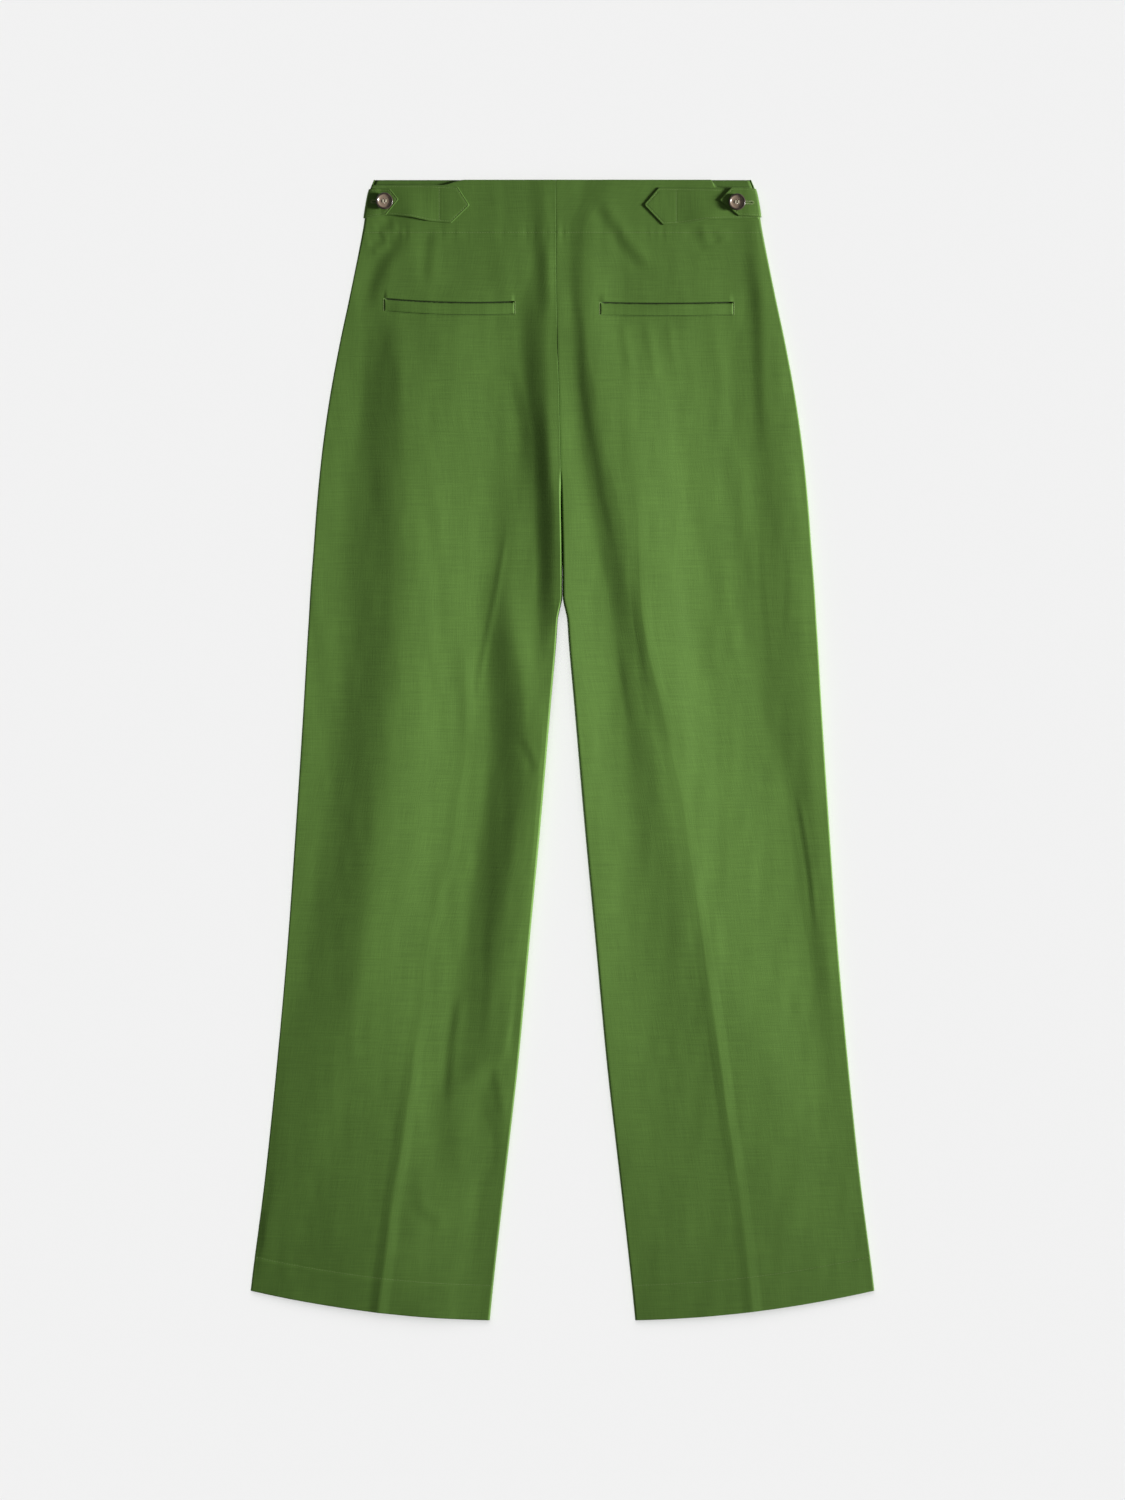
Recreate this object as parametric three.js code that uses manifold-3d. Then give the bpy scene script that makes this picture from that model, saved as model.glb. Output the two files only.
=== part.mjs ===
// Wide-leg trousers with buttoned adjusters, lying flat with their back up.
// Millimetres. +X is the wearer's right, +Y runs to the waist, +Z is up and the surface is z = 0.
// The origin is the middle of the underside's box.
// Each leg is a flattened tube: a front panel flat on the surface, a back panel in soft folds
// on top, and rolled edges that meet at the side seam and at the inseam.

import * as THREE from 'three';
import { mergeVertices } from 'three/addons/utils/BufferGeometryUtils.js';
import Module from 'manifold-3d';

// ---- Driving dimensions ----

const LENGTH = 1080;
const WAIST_Y = LENGTH / 2;
const HEM_Y = -LENGTH / 2;
const CROTCH_Y = 147;
const HEM_RISE = 28;        // the outer corner of a hem above its inner corner
const HEM_SAG = 5.6;        // the hem's curve below the straight line between its corners
const HEM_TILT_FROM = -250; // sections start to tilt towards the hem's slope here

const CLOTH = 1.2;          // wall of a panel
const FACING = 1.0;
const DOUBLED = 1.1;        // turned and edge-stitched cloth of straps and tabs
const GAP = 0.3;            // between pieces, at seams and where one lies on another
const SEAM_Z = 2.5;         // height of the side seams and inseams
const EDGE_Z = 4.8;         // top of the rolled side edge where the tabs come round it
const INNER_ROLL = 4;       // width of the roll at the inseam
const WAIST_DEPTH = 50;     // depth of the waist facing

// The legs open into a groove below this height, and are fully rolled by the second one.
const GROOVE = { start: 268, end: 205 };
// The front panels leave the surface at the fork over this stretch.
const FORK = { start: 195, end: CROTCH_Y };

const COLOURS = { cloth: 0x55742f, facing: 0x3d5626, button: 0x3a2a20 };

// Half outline of the trousers: distances from the centre line, a row for each section.
const OUTLINE = [
  { y: 540, outer: 178.7, inner: 0 },
  { y: 530.5, outer: 182.5, inner: 0 },
  { y: 490, outer: 189.6, inner: 0 },
  { y: 426, outer: 202.4, inner: 0 },
  { y: 388, outer: 210.5, inner: 0 },
  { y: 331, outer: 221, inner: 0 },
  { y: 284, outer: 227.6, inner: 0 },
  { y: 237, outer: 232.4, inner: 0 },
  { y: 189, outer: 236, inner: 0 },
  { y: 147, outer: 239.1, inner: 0 },
  { y: 123, outer: 240.5, inner: 4.3 },
  { y: 104, outer: 241.7, inner: 5.6 },
  { y: 47, outer: 245, inner: 10.6 },
  { y: -67, outer: 252.3, inner: 20.4 },
  { y: -180, outer: 260.2, inner: 31 },
  { y: -294, outer: 270.3, inner: 41.6 },
  { y: -408, outer: 282.2, inner: 54.5 },
  { y: -508, outer: 295, inner: 65.6 },
  { y: -540, outer: 298.4, inner: 68.8 },
];

// The centre back seam leans to the wearer's left towards the waist.
const CENTRE_BACK = [
  { y: 540, x: -6.6 },
  { y: 426, x: -5.7 },
  { y: 331, x: -3.3 },
  { y: 260, x: -1.7 },
  { y: 147, x: 0 },
  { y: -540, x: 0 },
];

// Folds of the two back panels. A row is a section across the leg, and each fold in it is
// [distance from the centre line, height of the cloth's upper side]. edge and lip are the heights
// at the side and at the inner edge.
// From the side seam inwards on the wearer's left:
const FOLDS_LEFT = [
  { y: 540, edge: 4.8, foot: [170, 4.6], crest: [135, 4.8], crease: [92, 4.9], dip: [62, 4.8],
    bump: [46, 4.9], valley: [32, 4.8], ridge: [18, 5.2], lip: 5.2 },
  { y: 490, edge: 4.8, foot: [172, 4.7], crest: [138, 5.6], crease: [88, 5.4], dip: [70, 5.4],
    bump: [45, 5.6], valley: [30, 5.4], ridge: [14, 6.4], lip: 6.2 },
  { y: 426, edge: 4.8, foot: [190, 4.9], crest: [150, 5.8], crease: [98, 6.3], dip: [78, 6.1],
    bump: [58, 5.8], valley: [40, 5.6], ridge: [12, 8.1], lip: 7.9 },
  { y: 379, edge: 4.9, foot: [190, 4.8], crest: [150, 8.1], crease: [102, 7.7], dip: [76, 6.4],
    bump: [58, 5.6], valley: [44, 5.2], ridge: [13, 9.2], lip: 9.2 },
  { y: 331, edge: 5, foot: [193, 4.8], crest: [149, 9.5], crease: [100, 8.4], dip: [67, 6.8],
    bump: [47, 6.3], valley: [34, 7.5], ridge: [13, 11.4], lip: 11.2 },
  { y: 237, edge: 5.3, foot: [206, 4.7], crest: [147, 9.5], crease: [90, 6.3], dip: [66, 5.1],
    bump: [42, 6.1], valley: [27, 6.9], ridge: [8, 11.2], lip: 11.5 },
  { y: 142, edge: 5.2, foot: [212, 4.7], crest: [149, 10], crease: [92, 6], dip: [74, 4.8],
    bump: [48, 6.4], valley: [26, 6], ridge: [7, 9.4], lip: 9.8 },
  { y: 94, edge: 5.2, foot: [214, 4.8], crest: [153, 9.7], crease: [92, 5.8], dip: [74, 4.8],
    bump: [42, 8.7], valley: [22, 7.8], ridge: [13, 8.2], lip: 8.4 },
  { y: 47, edge: 5.4, foot: [218, 5], crest: [158, 10.1], crease: [92, 5.8], dip: [71, 4.8],
    bump: [34, 9.5], valley: [24, 9.4], ridge: [18, 9.3], lip: 9.1 },
  { y: -48, edge: 5.7, foot: [227, 5.5], crest: [170, 10.5], crease: [100, 5.6], dip: [78, 4.7],
    bump: [38, 9.9], valley: [29, 10.5], ridge: [25, 10.6], lip: 10.2 },
  { y: -143, edge: 5.4, foot: [240, 5.5], crest: [182, 10.3], crease: [119, 6.2], dip: [88, 4.7],
    bump: [49, 9.1], valley: [39, 9.4], ridge: [34, 9.3], lip: 9 },
  { y: -237, edge: 5, foot: [254, 5.2], crest: [190, 9.4], crease: [132, 6.4], dip: [101, 4.7],
    bump: [60, 7.8], valley: [50, 7.9], ridge: [43, 7.6], lip: 7.7 },
  { y: -332, edge: 4.8, foot: [264, 5.3], crest: [212, 7.7], crease: [146, 7.6], dip: [117, 5.5],
    bump: [100, 6.1], valley: [77, 5.3], ridge: [54, 6.7], lip: 6.4 },
  { y: -427, edge: 4.8, foot: [272, 5.7], crest: [236, 7.5], crease: [160, 9.4], dip: [120, 8.1],
    bump: [100, 7.2], valley: [77, 5.3], ridge: [64, 5.4], lip: 5.5 },
  { y: -540, edge: 4.8, foot: [288, 5.2], crest: [252, 6.9], crease: [174, 8.4], dip: [136, 8.7],
    bump: [112, 7.6], valley: [88, 5.7], ridge: [77, 5.3], lip: 5.3 },
];
// From the side seam inwards on the wearer's right:
const FOLDS_RIGHT = [
  { y: 540, edge: 4.8, swell: [173, 4.7], hollow: [152, 4.7], fall: [112, 4.8], crease: [75, 5],
    shoulder: [46, 5.3], trough: [22, 4.8], lip: 5.2 },
  { y: 490, edge: 4.8, swell: [183, 5.2], hollow: [168, 4.7], fall: [100, 5.4], crease: [52, 5.7],
    shoulder: [22, 6.6], trough: [6, 5.6], lip: 6 },
  { y: 426, edge: 6, swell: [192, 6.3], hollow: [171, 4.6], fall: [114, 5.9], crease: [60, 5.4],
    shoulder: [21, 8.3], trough: [7, 7.3], lip: 7.7 },
  { y: 379, edge: 6.3, swell: [200, 6.7], hollow: [166, 4.6], fall: [124, 5.6], crease: [58, 8.4],
    shoulder: [25, 10.7], trough: [8, 9], lip: 9.4 },
  { y: 331, edge: 6.2, swell: [205, 6.6], hollow: [168, 4.7], fall: [122, 6], crease: [62, 10.5],
    shoulder: [34, 12.1], trough: [11, 9.4], lip: 10.2 },
  { y: 237, edge: 6.4, swell: [217, 6.7], hollow: [178, 4.6], fall: [126, 6.1], crease: [70, 11],
    shoulder: [54, 11.7], trough: [25, 8.7], lip: 10.1 },
  { y: 142, edge: 7.6, swell: [226, 7.8], hollow: [177, 4.9], fall: [144, 4.8], crease: [74, 10.1],
    shoulder: [65, 9.7], trough: [43, 7.3], lip: 10.3 },
  { y: 94, edge: 7.8, swell: [231, 7.9], hollow: [181, 4.8], fall: [140, 5.2], crease: [81, 9.8],
    shoulder: [68, 8.8], trough: [49, 7.3], lip: 10.6 },
  { y: 47, edge: 7.7, swell: [235, 7.8], hollow: [186, 4.7], fall: [146, 5.6], crease: [92, 10.1],
    shoulder: [73, 9.1], trough: [51, 7.3], lip: 10.5 },
  { y: -48, edge: 7.3, swell: [241, 7.2], hollow: [210, 4.6], fall: [150, 6.2], crease: [113, 8.7],
    shoulder: [98, 9.1], trough: [64, 7.2], lip: 10.1 },
  { y: -143, edge: 6.7, swell: [248, 6.6], hollow: [222, 4.6], fall: [154, 6.9],
    crease: [128, 8.8], shoulder: [116, 8.9], trough: [72, 7.2], lip: 9.4 },
  { y: -237, edge: 6, swell: [256, 5.8], hollow: [238, 4.7], fall: [172, 7.6], crease: [141, 8.8],
    shoulder: [116, 7.9], trough: [80, 6.8], lip: 8.2 },
  { y: -332, edge: 4.9, swell: [264, 4.9], hollow: [252, 4.7], fall: [194, 6.9],
    crease: [154, 7.1], shoulder: [134, 6.8], trough: [90, 6.2], lip: 6.9 },
  { y: -427, edge: 4.8, swell: [276, 4.8], hollow: [264, 4.9], fall: [206, 6.3],
    crease: [168, 6.4], shoulder: [142, 6.2], trough: [92, 6.2], lip: 6.1 },
  { y: -540, edge: 4.8, swell: [290, 4.8], hollow: [282, 5], fall: [220, 6.5], crease: [180, 7.2],
    shoulder: [140, 7.1], trough: [86, 5.8], lip: 5.5 },
];

// Heights of the sections along a leg, closer together round the fork.
const STATIONS = [
  540, 522, 490, 458, 428, 419, 411, 380, 331, 290, 268, 250, 232, 216, 200, 180, 163, 147, 123, 100, 47,
  -2, -48, -95, -143, -190, -237, -285, -332, -380, -427, -475, -515, -540,
];

const LEFT = {
  side: -1,
  name: 'left',
  folds: FOLDS_LEFT,
  order: ['foot', 'crest', 'crease', 'dip', 'bump', 'valley', 'ridge'],
  spans: [2, 3, 4, 2, 2, 2, 2, 2],
  // The back's waist edge dips below the front's between these distances from the centre line.
  waistDip: { from: 92, to: 116, depth: 5 },
  // Pocket welt: its ends, the heights of its opening at them, the opening's sag and its depth.
  welt: { outer: 168.6, inner: 45.8, outerY: 426.8, innerY: 424, sag: 2.2, depth: 10.8 },
  // A row for each line across the strap, from its point to the side.
  strap: [
    { upper: [88.3, 516.4], lower: [88.3, 515.2], lift: 0.2 },
    { upper: [99.2, 533.4], lower: [105.2, 498.7], lift: 0 },
    { upper: [116.6, 534.4], lower: [116.6, 499.6], lift: 0 },
    { upper: [128, 534.8], lower: [127, 500.8], lift: 0.8 },
    { upper: [143, 535], lower: [143, 504.2], lift: 1.6 },
    { upper: [158, 535], lower: [158, 506], lift: 1.0 },
    { upper: [172, 534.6], lower: [174, 506.4], lift: 0 },
  ],
  // A row for each line across the tab, from its point to the side.
  tab: [
    { upper: [155.5, 521.6], lower: [155.5, 520.4] },
    { upper: [163.4, 531.2], lower: [167, 506.4] },
    { upper: [176, 531.4], lower: [177, 504.6] },
  ],
  tabEdge: { upper: 531, lower: 503.6 },
  button: { x: 168.5, y: 519.1, tilt: 5 },
};

const RIGHT = {
  side: 1,
  name: 'right',
  folds: FOLDS_RIGHT,
  order: ['swell', 'hollow', 'fall', 'crease', 'shoulder', 'trough'],
  spans: [1, 2, 2, 4, 2, 3, 3],
  waistDip: { from: 141, to: 144, depth: 7 },
  welt: { outer: 161.4, inner: 35.9, outerY: 423.4, innerY: 423.1, sag: 1.0, depth: 11 },
  strap: [
    { upper: [77.5, 516.8], lower: [77.5, 515.6], lift: 0.2 },
    { upper: [91, 532.5], lower: [95.1, 497], lift: 0 },
    { upper: [107.8, 532.3], lower: [107.8, 497.6], lift: 0 },
    { upper: [120, 532], lower: [120, 499], lift: 0.6 },
    { upper: [136, 531.8], lower: [136, 501.6], lift: 1.4 },
    { upper: [152, 531.7], lower: [152, 502.6], lift: 0.8 },
    { upper: [170, 531.6], lower: [173, 502.8], lift: 0 },
  ],
  tab: [
    { upper: [149, 520.9], lower: [149, 519.7] },
    { upper: [160, 532.5], lower: [166.6, 505.6] },
    { upper: [174, 532.4], lower: [176, 505.2] },
  ],
  tabEdge: { upper: 531.3, lower: 504.6 },
  button: { x: 165.1, y: 518.3, tilt: 1.5 },
};

// ---- Interpolation ----

const clamp01 = (t) => Math.min(1, Math.max(0, t));
const smooth = (t) => clamp01(t) ** 2 * (3 - 2 * clamp01(t));

// Smooth curve through points [x, y] with x rising that never overshoots them.
function curveThrough(points) {
  const last = points.length - 1;
  const widths = [];
  const slopes = [];
  for (let i = 0; i < last; i++) {
    widths.push(points[i + 1][0] - points[i][0]);
    slopes.push((points[i + 1][1] - points[i][1]) / widths[i]);
  }
  const tangents = points.map((_, i) => {
    if (i === 0) return slopes[0];
    if (i === last) return slopes[last - 1];
    if (slopes[i - 1] * slopes[i] <= 0) return 0;
    const a = 2 * widths[i] + widths[i - 1];
    const b = widths[i] + 2 * widths[i - 1];
    return (a + b) / (a / slopes[i - 1] + b / slopes[i]);
  });
  return (x) => {
    let i = 0;
    while (i < last - 1 && x > points[i + 1][0]) i++;
    const t = clamp01((x - points[i][0]) / widths[i]);
    return (
      points[i][1] * (1 + 2 * t) * (1 - t) ** 2 +
      tangents[i] * widths[i] * t * (1 - t) ** 2 +
      points[i + 1][1] * t ** 2 * (3 - 2 * t) -
      tangents[i + 1] * widths[i] * t ** 2 * (1 - t)
    );
  };
}

// A column of a table as a curve over y. The tables run from the waist down.
function column(rows, read) {
  return curveThrough(rows.map((row) => [-row.y, read(row)]));
}

const outerAt = column(OUTLINE, (row) => row.outer);
const innerAt = column(OUTLINE, (row) => row.inner);
const centreBackAt = column(CENTRE_BACK, (row) => row.x);

for (const leg of [LEFT, RIGHT]) {
  leg.foldX = leg.order.map((name) => column(leg.folds, (row) => row[name][0]));
  leg.foldZ = leg.order.map((name) => column(leg.folds, (row) => row[name][1]));
  leg.lipZ = column(leg.folds, (row) => row.lip);
  leg.edgeZ = column(leg.folds, (row) => row.edge);
}

// ---- Sections of a leg ----

// How far a section has tilted towards the hem's slope.
const tiltAt = (y) => smooth((HEM_TILT_FROM - y) / (HEM_TILT_FROM - HEM_Y));

// Height along the garment of a point on section y, at distance x from the centre line.
function sectionY(y, x) {
  const inner = innerAt(-y);
  const outer = outerAt(-y - HEM_RISE * tiltAt(y));
  const t = clamp01((x - inner) / (outer - inner));
  return y + tiltAt(y) * (HEM_RISE * t - 4 * HEM_SAG * t * (1 - t));
}

const outerEdge = (y) => outerAt(-y - HEM_RISE * tiltAt(y));

// Inner edge of a back panel, measured on its own side of the centre line.
const backInnerEdge = (leg, y) => innerAt(-y) + leg.side * centreBackAt(-y) + GAP / 2;
const frontInnerEdge = (y) => innerAt(-y) + GAP / 2;

// 0 where the back panels lie level at the centre seam, 1 where they roll down to the inseam.
const grooveAt = (y) => smooth((GROOVE.start - y) / (GROOVE.start - GROOVE.end));
const forkAt = (y) => smooth((FORK.start - y) / (FORK.start - FORK.end));

// Width of the roll at a side edge: as wide as high at the waist, narrower than high below it.
const sideRoll = (edge) => 0.8 * (EDGE_Z - SEAM_Z - GAP / 2) + 0.2 * (edge - SEAM_Z - GAP / 2);

// Knots of a back panel's upper side between its rolls, from the centre outwards.
function backKnots(leg, y) {
  const edge = leg.edgeZ(-y);
  const inner = [backInnerEdge(leg, y) + INNER_ROLL, leg.lipZ(-y)];
  const outer = [outerEdge(y) - sideRoll(edge), edge];
  const folds = leg.order.map((_, i) => [leg.foldX[i](-y), leg.foldZ[i](-y)]);
  return [inner, ...folds.reverse(), outer];
}

// Height of a back panel's upper side, anywhere between its rolls.
function backHeight(leg, x, y) {
  return curveThrough(backKnots(leg, y))(x);
}

// Offsets a line of [x, z] points by the wall, to the side that turns clockwise from its run.
// The end directions are given, because the seams are square to the cloth there.
function offsetLine(line, wall, startAngle, endAngle) {
  const last = line.length - 1;
  return line.map(([x, z], i) => {
    const before = line[Math.max(i - 1, 0)];
    const after = line[Math.min(i + 1, last)];
    let angle = Math.atan2(after[1] - before[1], after[0] - before[0]);
    if (i === 0) angle = startAngle;
    if (i === last) angle = endAngle;
    return [x + wall * Math.sin(angle), z - wall * Math.cos(angle)];
  });
}

const ROLL_STEPS = 3;

// Section of a back panel's upper side from the inseam or centre seam to the side seam.
function backLine(leg, y) {
  const knots = backKnots(leg, y);
  const height = curveThrough(knots);
  const seamZ = SEAM_Z + GAP / 2;
  const groove = grooveAt(y);
  const line = [];

  const turn = Math.max(groove, 0.02) * Math.PI / 2;
  const [lipX, lipZ] = knots[0];
  const drop = groove * (lipZ - seamZ);
  for (let i = ROLL_STEPS; i > 0; i--) {
    const angle = (turn * i) / ROLL_STEPS;
    const reach = Math.sin(angle) / Math.sin(turn);
    const depth = (1 - Math.cos(angle)) / (1 - Math.cos(turn));
    line.push([lipX - INNER_ROLL * reach, lipZ - drop * depth]);
  }

  const spans = [...leg.spans].reverse();
  for (let k = 0; k < knots.length - 1; k++) {
    for (let i = 0; i < spans[k]; i++) {
      const x = THREE.MathUtils.lerp(knots[k][0], knots[k + 1][0], i / spans[k]);
      line.push([x, height(x)]);
    }
  }

  const [rollX, rollZ] = knots[knots.length - 1];
  for (let i = 0; i <= ROLL_STEPS; i++) {
    const angle = (Math.PI / 2) * (i / ROLL_STEPS);
    line.push([rollX + sideRoll(rollZ) * Math.sin(angle), seamZ + (rollZ - seamZ) * Math.cos(angle)]);
  }
  return { line, inside: offsetLine(line, CLOTH, turn, -Math.PI / 2) };
}

const FRONT_SPANS = 5;

// Section of a front panel's underside, flat on the surface between its rolled edges.
function frontLine(y) {
  const radius = SEAM_Z - GAP / 2;
  const rise = forkAt(y);
  const inner = frontInnerEdge(y);
  const outer = outerEdge(y);
  const line = [];
  const turn = Math.max(rise, 0.02) * Math.PI / 2;
  for (let i = ROLL_STEPS; i > 0; i--) {
    const angle = (turn * i) / ROLL_STEPS;
    const reach = Math.sin(angle) / Math.sin(turn);
    const height = (1 - Math.cos(angle)) / (1 - Math.cos(turn));
    line.push([inner + radius * (1 - reach), rise * radius * height]);
  }
  for (let i = 0; i < FRONT_SPANS; i++) {
    line.push([THREE.MathUtils.lerp(inner + radius, outer - radius, i / FRONT_SPANS), 0]);
  }
  for (let i = 0; i <= ROLL_STEPS; i++) {
    const angle = (Math.PI / 2) * (i / ROLL_STEPS);
    line.push([outer - radius + radius * Math.sin(angle), radius * (1 - Math.cos(angle))]);
  }
  return { line, inside: offsetLine(line, -CLOTH, -turn, Math.PI / 2) };
}

// ---- Solids ----

// Closed solid between two grids of points. Faces are turned outwards at the end.
function solidBetween(outerRows, innerRows) {
  const rows = outerRows.length;
  const cols = outerRows[0].length;
  const positions = [...outerRows, ...innerRows].flat().flatMap((p) => [p.x, p.y, p.z]);
  const outer = (r, c) => r * cols + c;
  const inner = (r, c) => (rows + r) * cols + c;
  const index = [];
  const quad = (a, b, c, d) => index.push(a, b, c, a, c, d);
  for (let r = 0; r < rows - 1; r++) {
    for (let c = 0; c < cols - 1; c++) {
      quad(outer(r, c), outer(r, c + 1), outer(r + 1, c + 1), outer(r + 1, c));
      quad(inner(r, c), inner(r + 1, c), inner(r + 1, c + 1), inner(r, c + 1));
    }
    quad(outer(r, 0), outer(r + 1, 0), inner(r + 1, 0), inner(r, 0));
    quad(outer(r + 1, cols - 1), outer(r, cols - 1), inner(r, cols - 1), inner(r + 1, cols - 1));
  }
  for (let c = 0; c < cols - 1; c++) {
    quad(outer(0, c + 1), outer(0, c), inner(0, c), inner(0, c + 1));
    quad(outer(rows - 1, c), outer(rows - 1, c + 1), inner(rows - 1, c + 1), inner(rows - 1, c));
  }
  const geometry = new THREE.BufferGeometry();
  geometry.setAttribute('position', new THREE.Float32BufferAttribute(positions, 3));
  geometry.setIndex(signedVolume(positions, index) < 0 ? index.reverse() : index);
  return geometry;
}

function signedVolume(positions, index) {
  const corner = (i) => new THREE.Vector3().fromArray(positions, 3 * index[i]);
  let volume = 0;
  for (let i = 0; i < index.length; i += 3) {
    volume += corner(i).dot(corner(i + 1).cross(corner(i + 2))) / 6;
  }
  return volume;
}

// Panel from its sections: the y of each point follows the tilt of its section.
function panel(leg, sectionOf, yOf) {
  const rows = STATIONS.map((y) => ({ y, ...sectionOf(y) }));
  const place = (row, points) =>
    points.map(([x, z], i) => new THREE.Vector3(leg.side * x, yOf(row.y, row.line[i][0]), z));
  return solidBetween(
    rows.map((row) => place(row, row.line)),
    rows.map((row) => place(row, row.inside)),
  );
}

function backPanel(leg) {
  const { from, to, depth } = leg.waistDip;
  const yOf = (y, x) => (y === WAIST_Y ? y - depth * smooth((x - from) / (to - from)) : sectionY(y, x));
  return panel(leg, (y) => backLine(leg, y), yOf);
}

const frontPanel = (leg) => panel(leg, frontLine, sectionY);

// Facing inside the front's waist, flat on the front panel.
function frontFacing(leg) {
  const bottom = CLOTH + GAP;
  const corner = (y, t, z) => {
    const outer = outerEdge(y) - SEAM_Z - FACING;
    return new THREE.Vector3(leg.side * THREE.MathUtils.lerp(GAP / 2, outer, t), y, z);
  };
  const heights = [WAIST_Y, WAIST_Y - 10, WAIST_Y - WAIST_DEPTH];
  const steps = [0, 0.5, 1];
  const layer = (z) => heights.map((y) => steps.map((t) => corner(y, t, z)));
  return solidBetween(layer(bottom + FACING), layer(bottom));
}

// Point above a back panel, and the direction that its upper side faces there.
function onPanel(leg, x, y, above) {
  const z = backHeight(leg, x, y) + above;
  return new THREE.Vector3(leg.side * x, y, z);
}

// Point outside the rolled side edge. turn is 0 at the top of the roll and 90 at the seam.
function roundEdge(leg, y, turn, above) {
  const seamZ = SEAM_Z + GAP / 2;
  const radius = EDGE_Z - seamZ;
  const angle = THREE.MathUtils.degToRad(turn);
  const x = outerEdge(y) - radius + (radius + above) * Math.sin(angle);
  return new THREE.Vector3(leg.side * x, y, seamZ + (radius + above) * Math.cos(angle));
}

const WELT_SPANS = 12;

// Single welt: a folded strip on the panel, crowned along its middle.
function pocketWelt(leg) {
  const { outer, inner, outerY, innerY, sag, depth } = leg.welt;
  const profile = [
    { across: 0, crown: 0 },
    { across: 0.3, crown: 0.35 },
    { across: 0.7, crown: 0.45 },
    { across: 1, crown: 0.3 },
  ];
  const layer = (above, crowned) =>
    profile.map(({ across, crown }) =>
      Array.from({ length: WELT_SPANS + 1 }, (_, i) => {
        const t = i / WELT_SPANS;
        const x = THREE.MathUtils.lerp(inner, outer, t);
        const opening = THREE.MathUtils.lerp(innerY, outerY, t) - 4 * sag * t * (1 - t);
        return onPanel(leg, x, opening - depth * (1 - across), above + crowned * crown);
      }),
    );
  return solidBetween(layer(GAP + CLOTH, 1), layer(GAP, 0));
}

const ACROSS = [0, 0.25, 0.5, 0.75, 1];

// Strap on the back's waist: it lifts off the cloth a little between its ends.
function adjusterStrap(leg) {
  const { upper: upperEnd, lower: lowerEnd } = leg.strap[leg.strap.length - 1];
  const layer = (above) => {
    const rows = leg.strap.map(({ upper, lower, lift }) =>
      ACROSS.map((t) => {
        const x = THREE.MathUtils.lerp(upper[0], lower[0], t);
        const y = THREE.MathUtils.lerp(upper[1], lower[1], t);
        return onPanel(leg, x, y, above + lift * t);
      }),
    );
    rows.push(ACROSS.map((t) => roundEdge(leg, THREE.MathUtils.lerp(upperEnd[1], lowerEnd[1], t), 12, above)));
    return rows;
  };
  return solidBetween(layer(GAP + DOUBLED), layer(GAP));
}

// Height of the tab's underside over the panel: it lies on the strap.
const tabBase = 2 * GAP + DOUBLED;
const TAB_TURNS = [8, 30, 60, 84];

// How far the strap's lower edge stands off, as a curve over the distance from the centre line.
const strapLiftOf = (leg) => curveThrough(leg.strap.map((row) => [row.upper[0], row.lift]));

// Tab from the side seam, round the edge and over the strap.
function adjusterTab(leg) {
  const strapLift = strapLiftOf(leg);
  const layer = (above) => {
    const rows = leg.tab.map(({ upper, lower }) =>
      ACROSS.map((t) => {
        const x = THREE.MathUtils.lerp(upper[0], lower[0], t);
        const y = THREE.MathUtils.lerp(upper[1], lower[1], t);
        return onPanel(leg, x, y, above + strapLift(x));
      }),
    );
    for (const turn of TAB_TURNS) {
      const settle = (tabBase - GAP) * smooth((turn - 20) / 50);
      rows.push(
        ACROSS.map((t) =>
          roundEdge(leg, THREE.MathUtils.lerp(leg.tabEdge.upper, leg.tabEdge.lower, t), turn, above - settle),
        ),
      );
    }
    return rows;
  };
  return solidBetween(layer(tabBase + DOUBLED), layer(tabBase));
}

// ---- Buttons ----

const BUTTON_RADIUS = 8;
const BUTTON_SIDES = 28;
const HOLE = { count: 4, radius: 0.8, ring: 1.85, sides: 8 };
// Half section of a button: [radius, height].
const BUTTON_PROFILE = [
  [0, 0],
  [5.2, 0],
  [7.4, 0.8],
  [BUTTON_RADIUS, 1.8],
  [7.7, 2.6],
  [7.1, 2.8],
  [6.1, 2.4],
  [5.3, 1.7],
  [0, 1.5],
];

const wasm = await Module();
wasm.setup();

function toManifold(geometry) {
  const bare = geometry.clone();
  bare.deleteAttribute('normal');
  bare.deleteAttribute('uv');
  const merged = mergeVertices(bare, 1e-4);
  const mesh = new wasm.Mesh({
    numProp: 3,
    vertProperties: new Float32Array(merged.attributes.position.array),
    triVerts: new Uint32Array(merged.index.array),
  });
  return new wasm.Manifold(mesh);
}

function fromManifold(solid) {
  const mesh = solid.getMesh();
  const geometry = new THREE.BufferGeometry();
  geometry.setAttribute('position', new THREE.Float32BufferAttribute(mesh.vertProperties, 3));
  geometry.setIndex(Array.from(mesh.triVerts));
  return geometry;
}

function buttonBody() {
  const profile = BUTTON_PROFILE.map(([r, z]) => new THREE.Vector2(r, z));
  let body = toManifold(new THREE.LatheGeometry(profile, BUTTON_SIDES).rotateX(Math.PI / 2));
  for (let i = 0; i < HOLE.count; i++) {
    const angle = (Math.PI * 2 * (i + 0.5)) / HOLE.count;
    const hole = new THREE.CylinderGeometry(HOLE.radius, HOLE.radius, 4 * BUTTON_RADIUS, HOLE.sides)
      .rotateX(Math.PI / 2)
      .translate(HOLE.ring * Math.cos(angle), HOLE.ring * Math.sin(angle), 0);
    body = body.subtract(toManifold(hole));
  }
  return fromManifold(body);
}

// ---- Assembly ----

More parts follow.
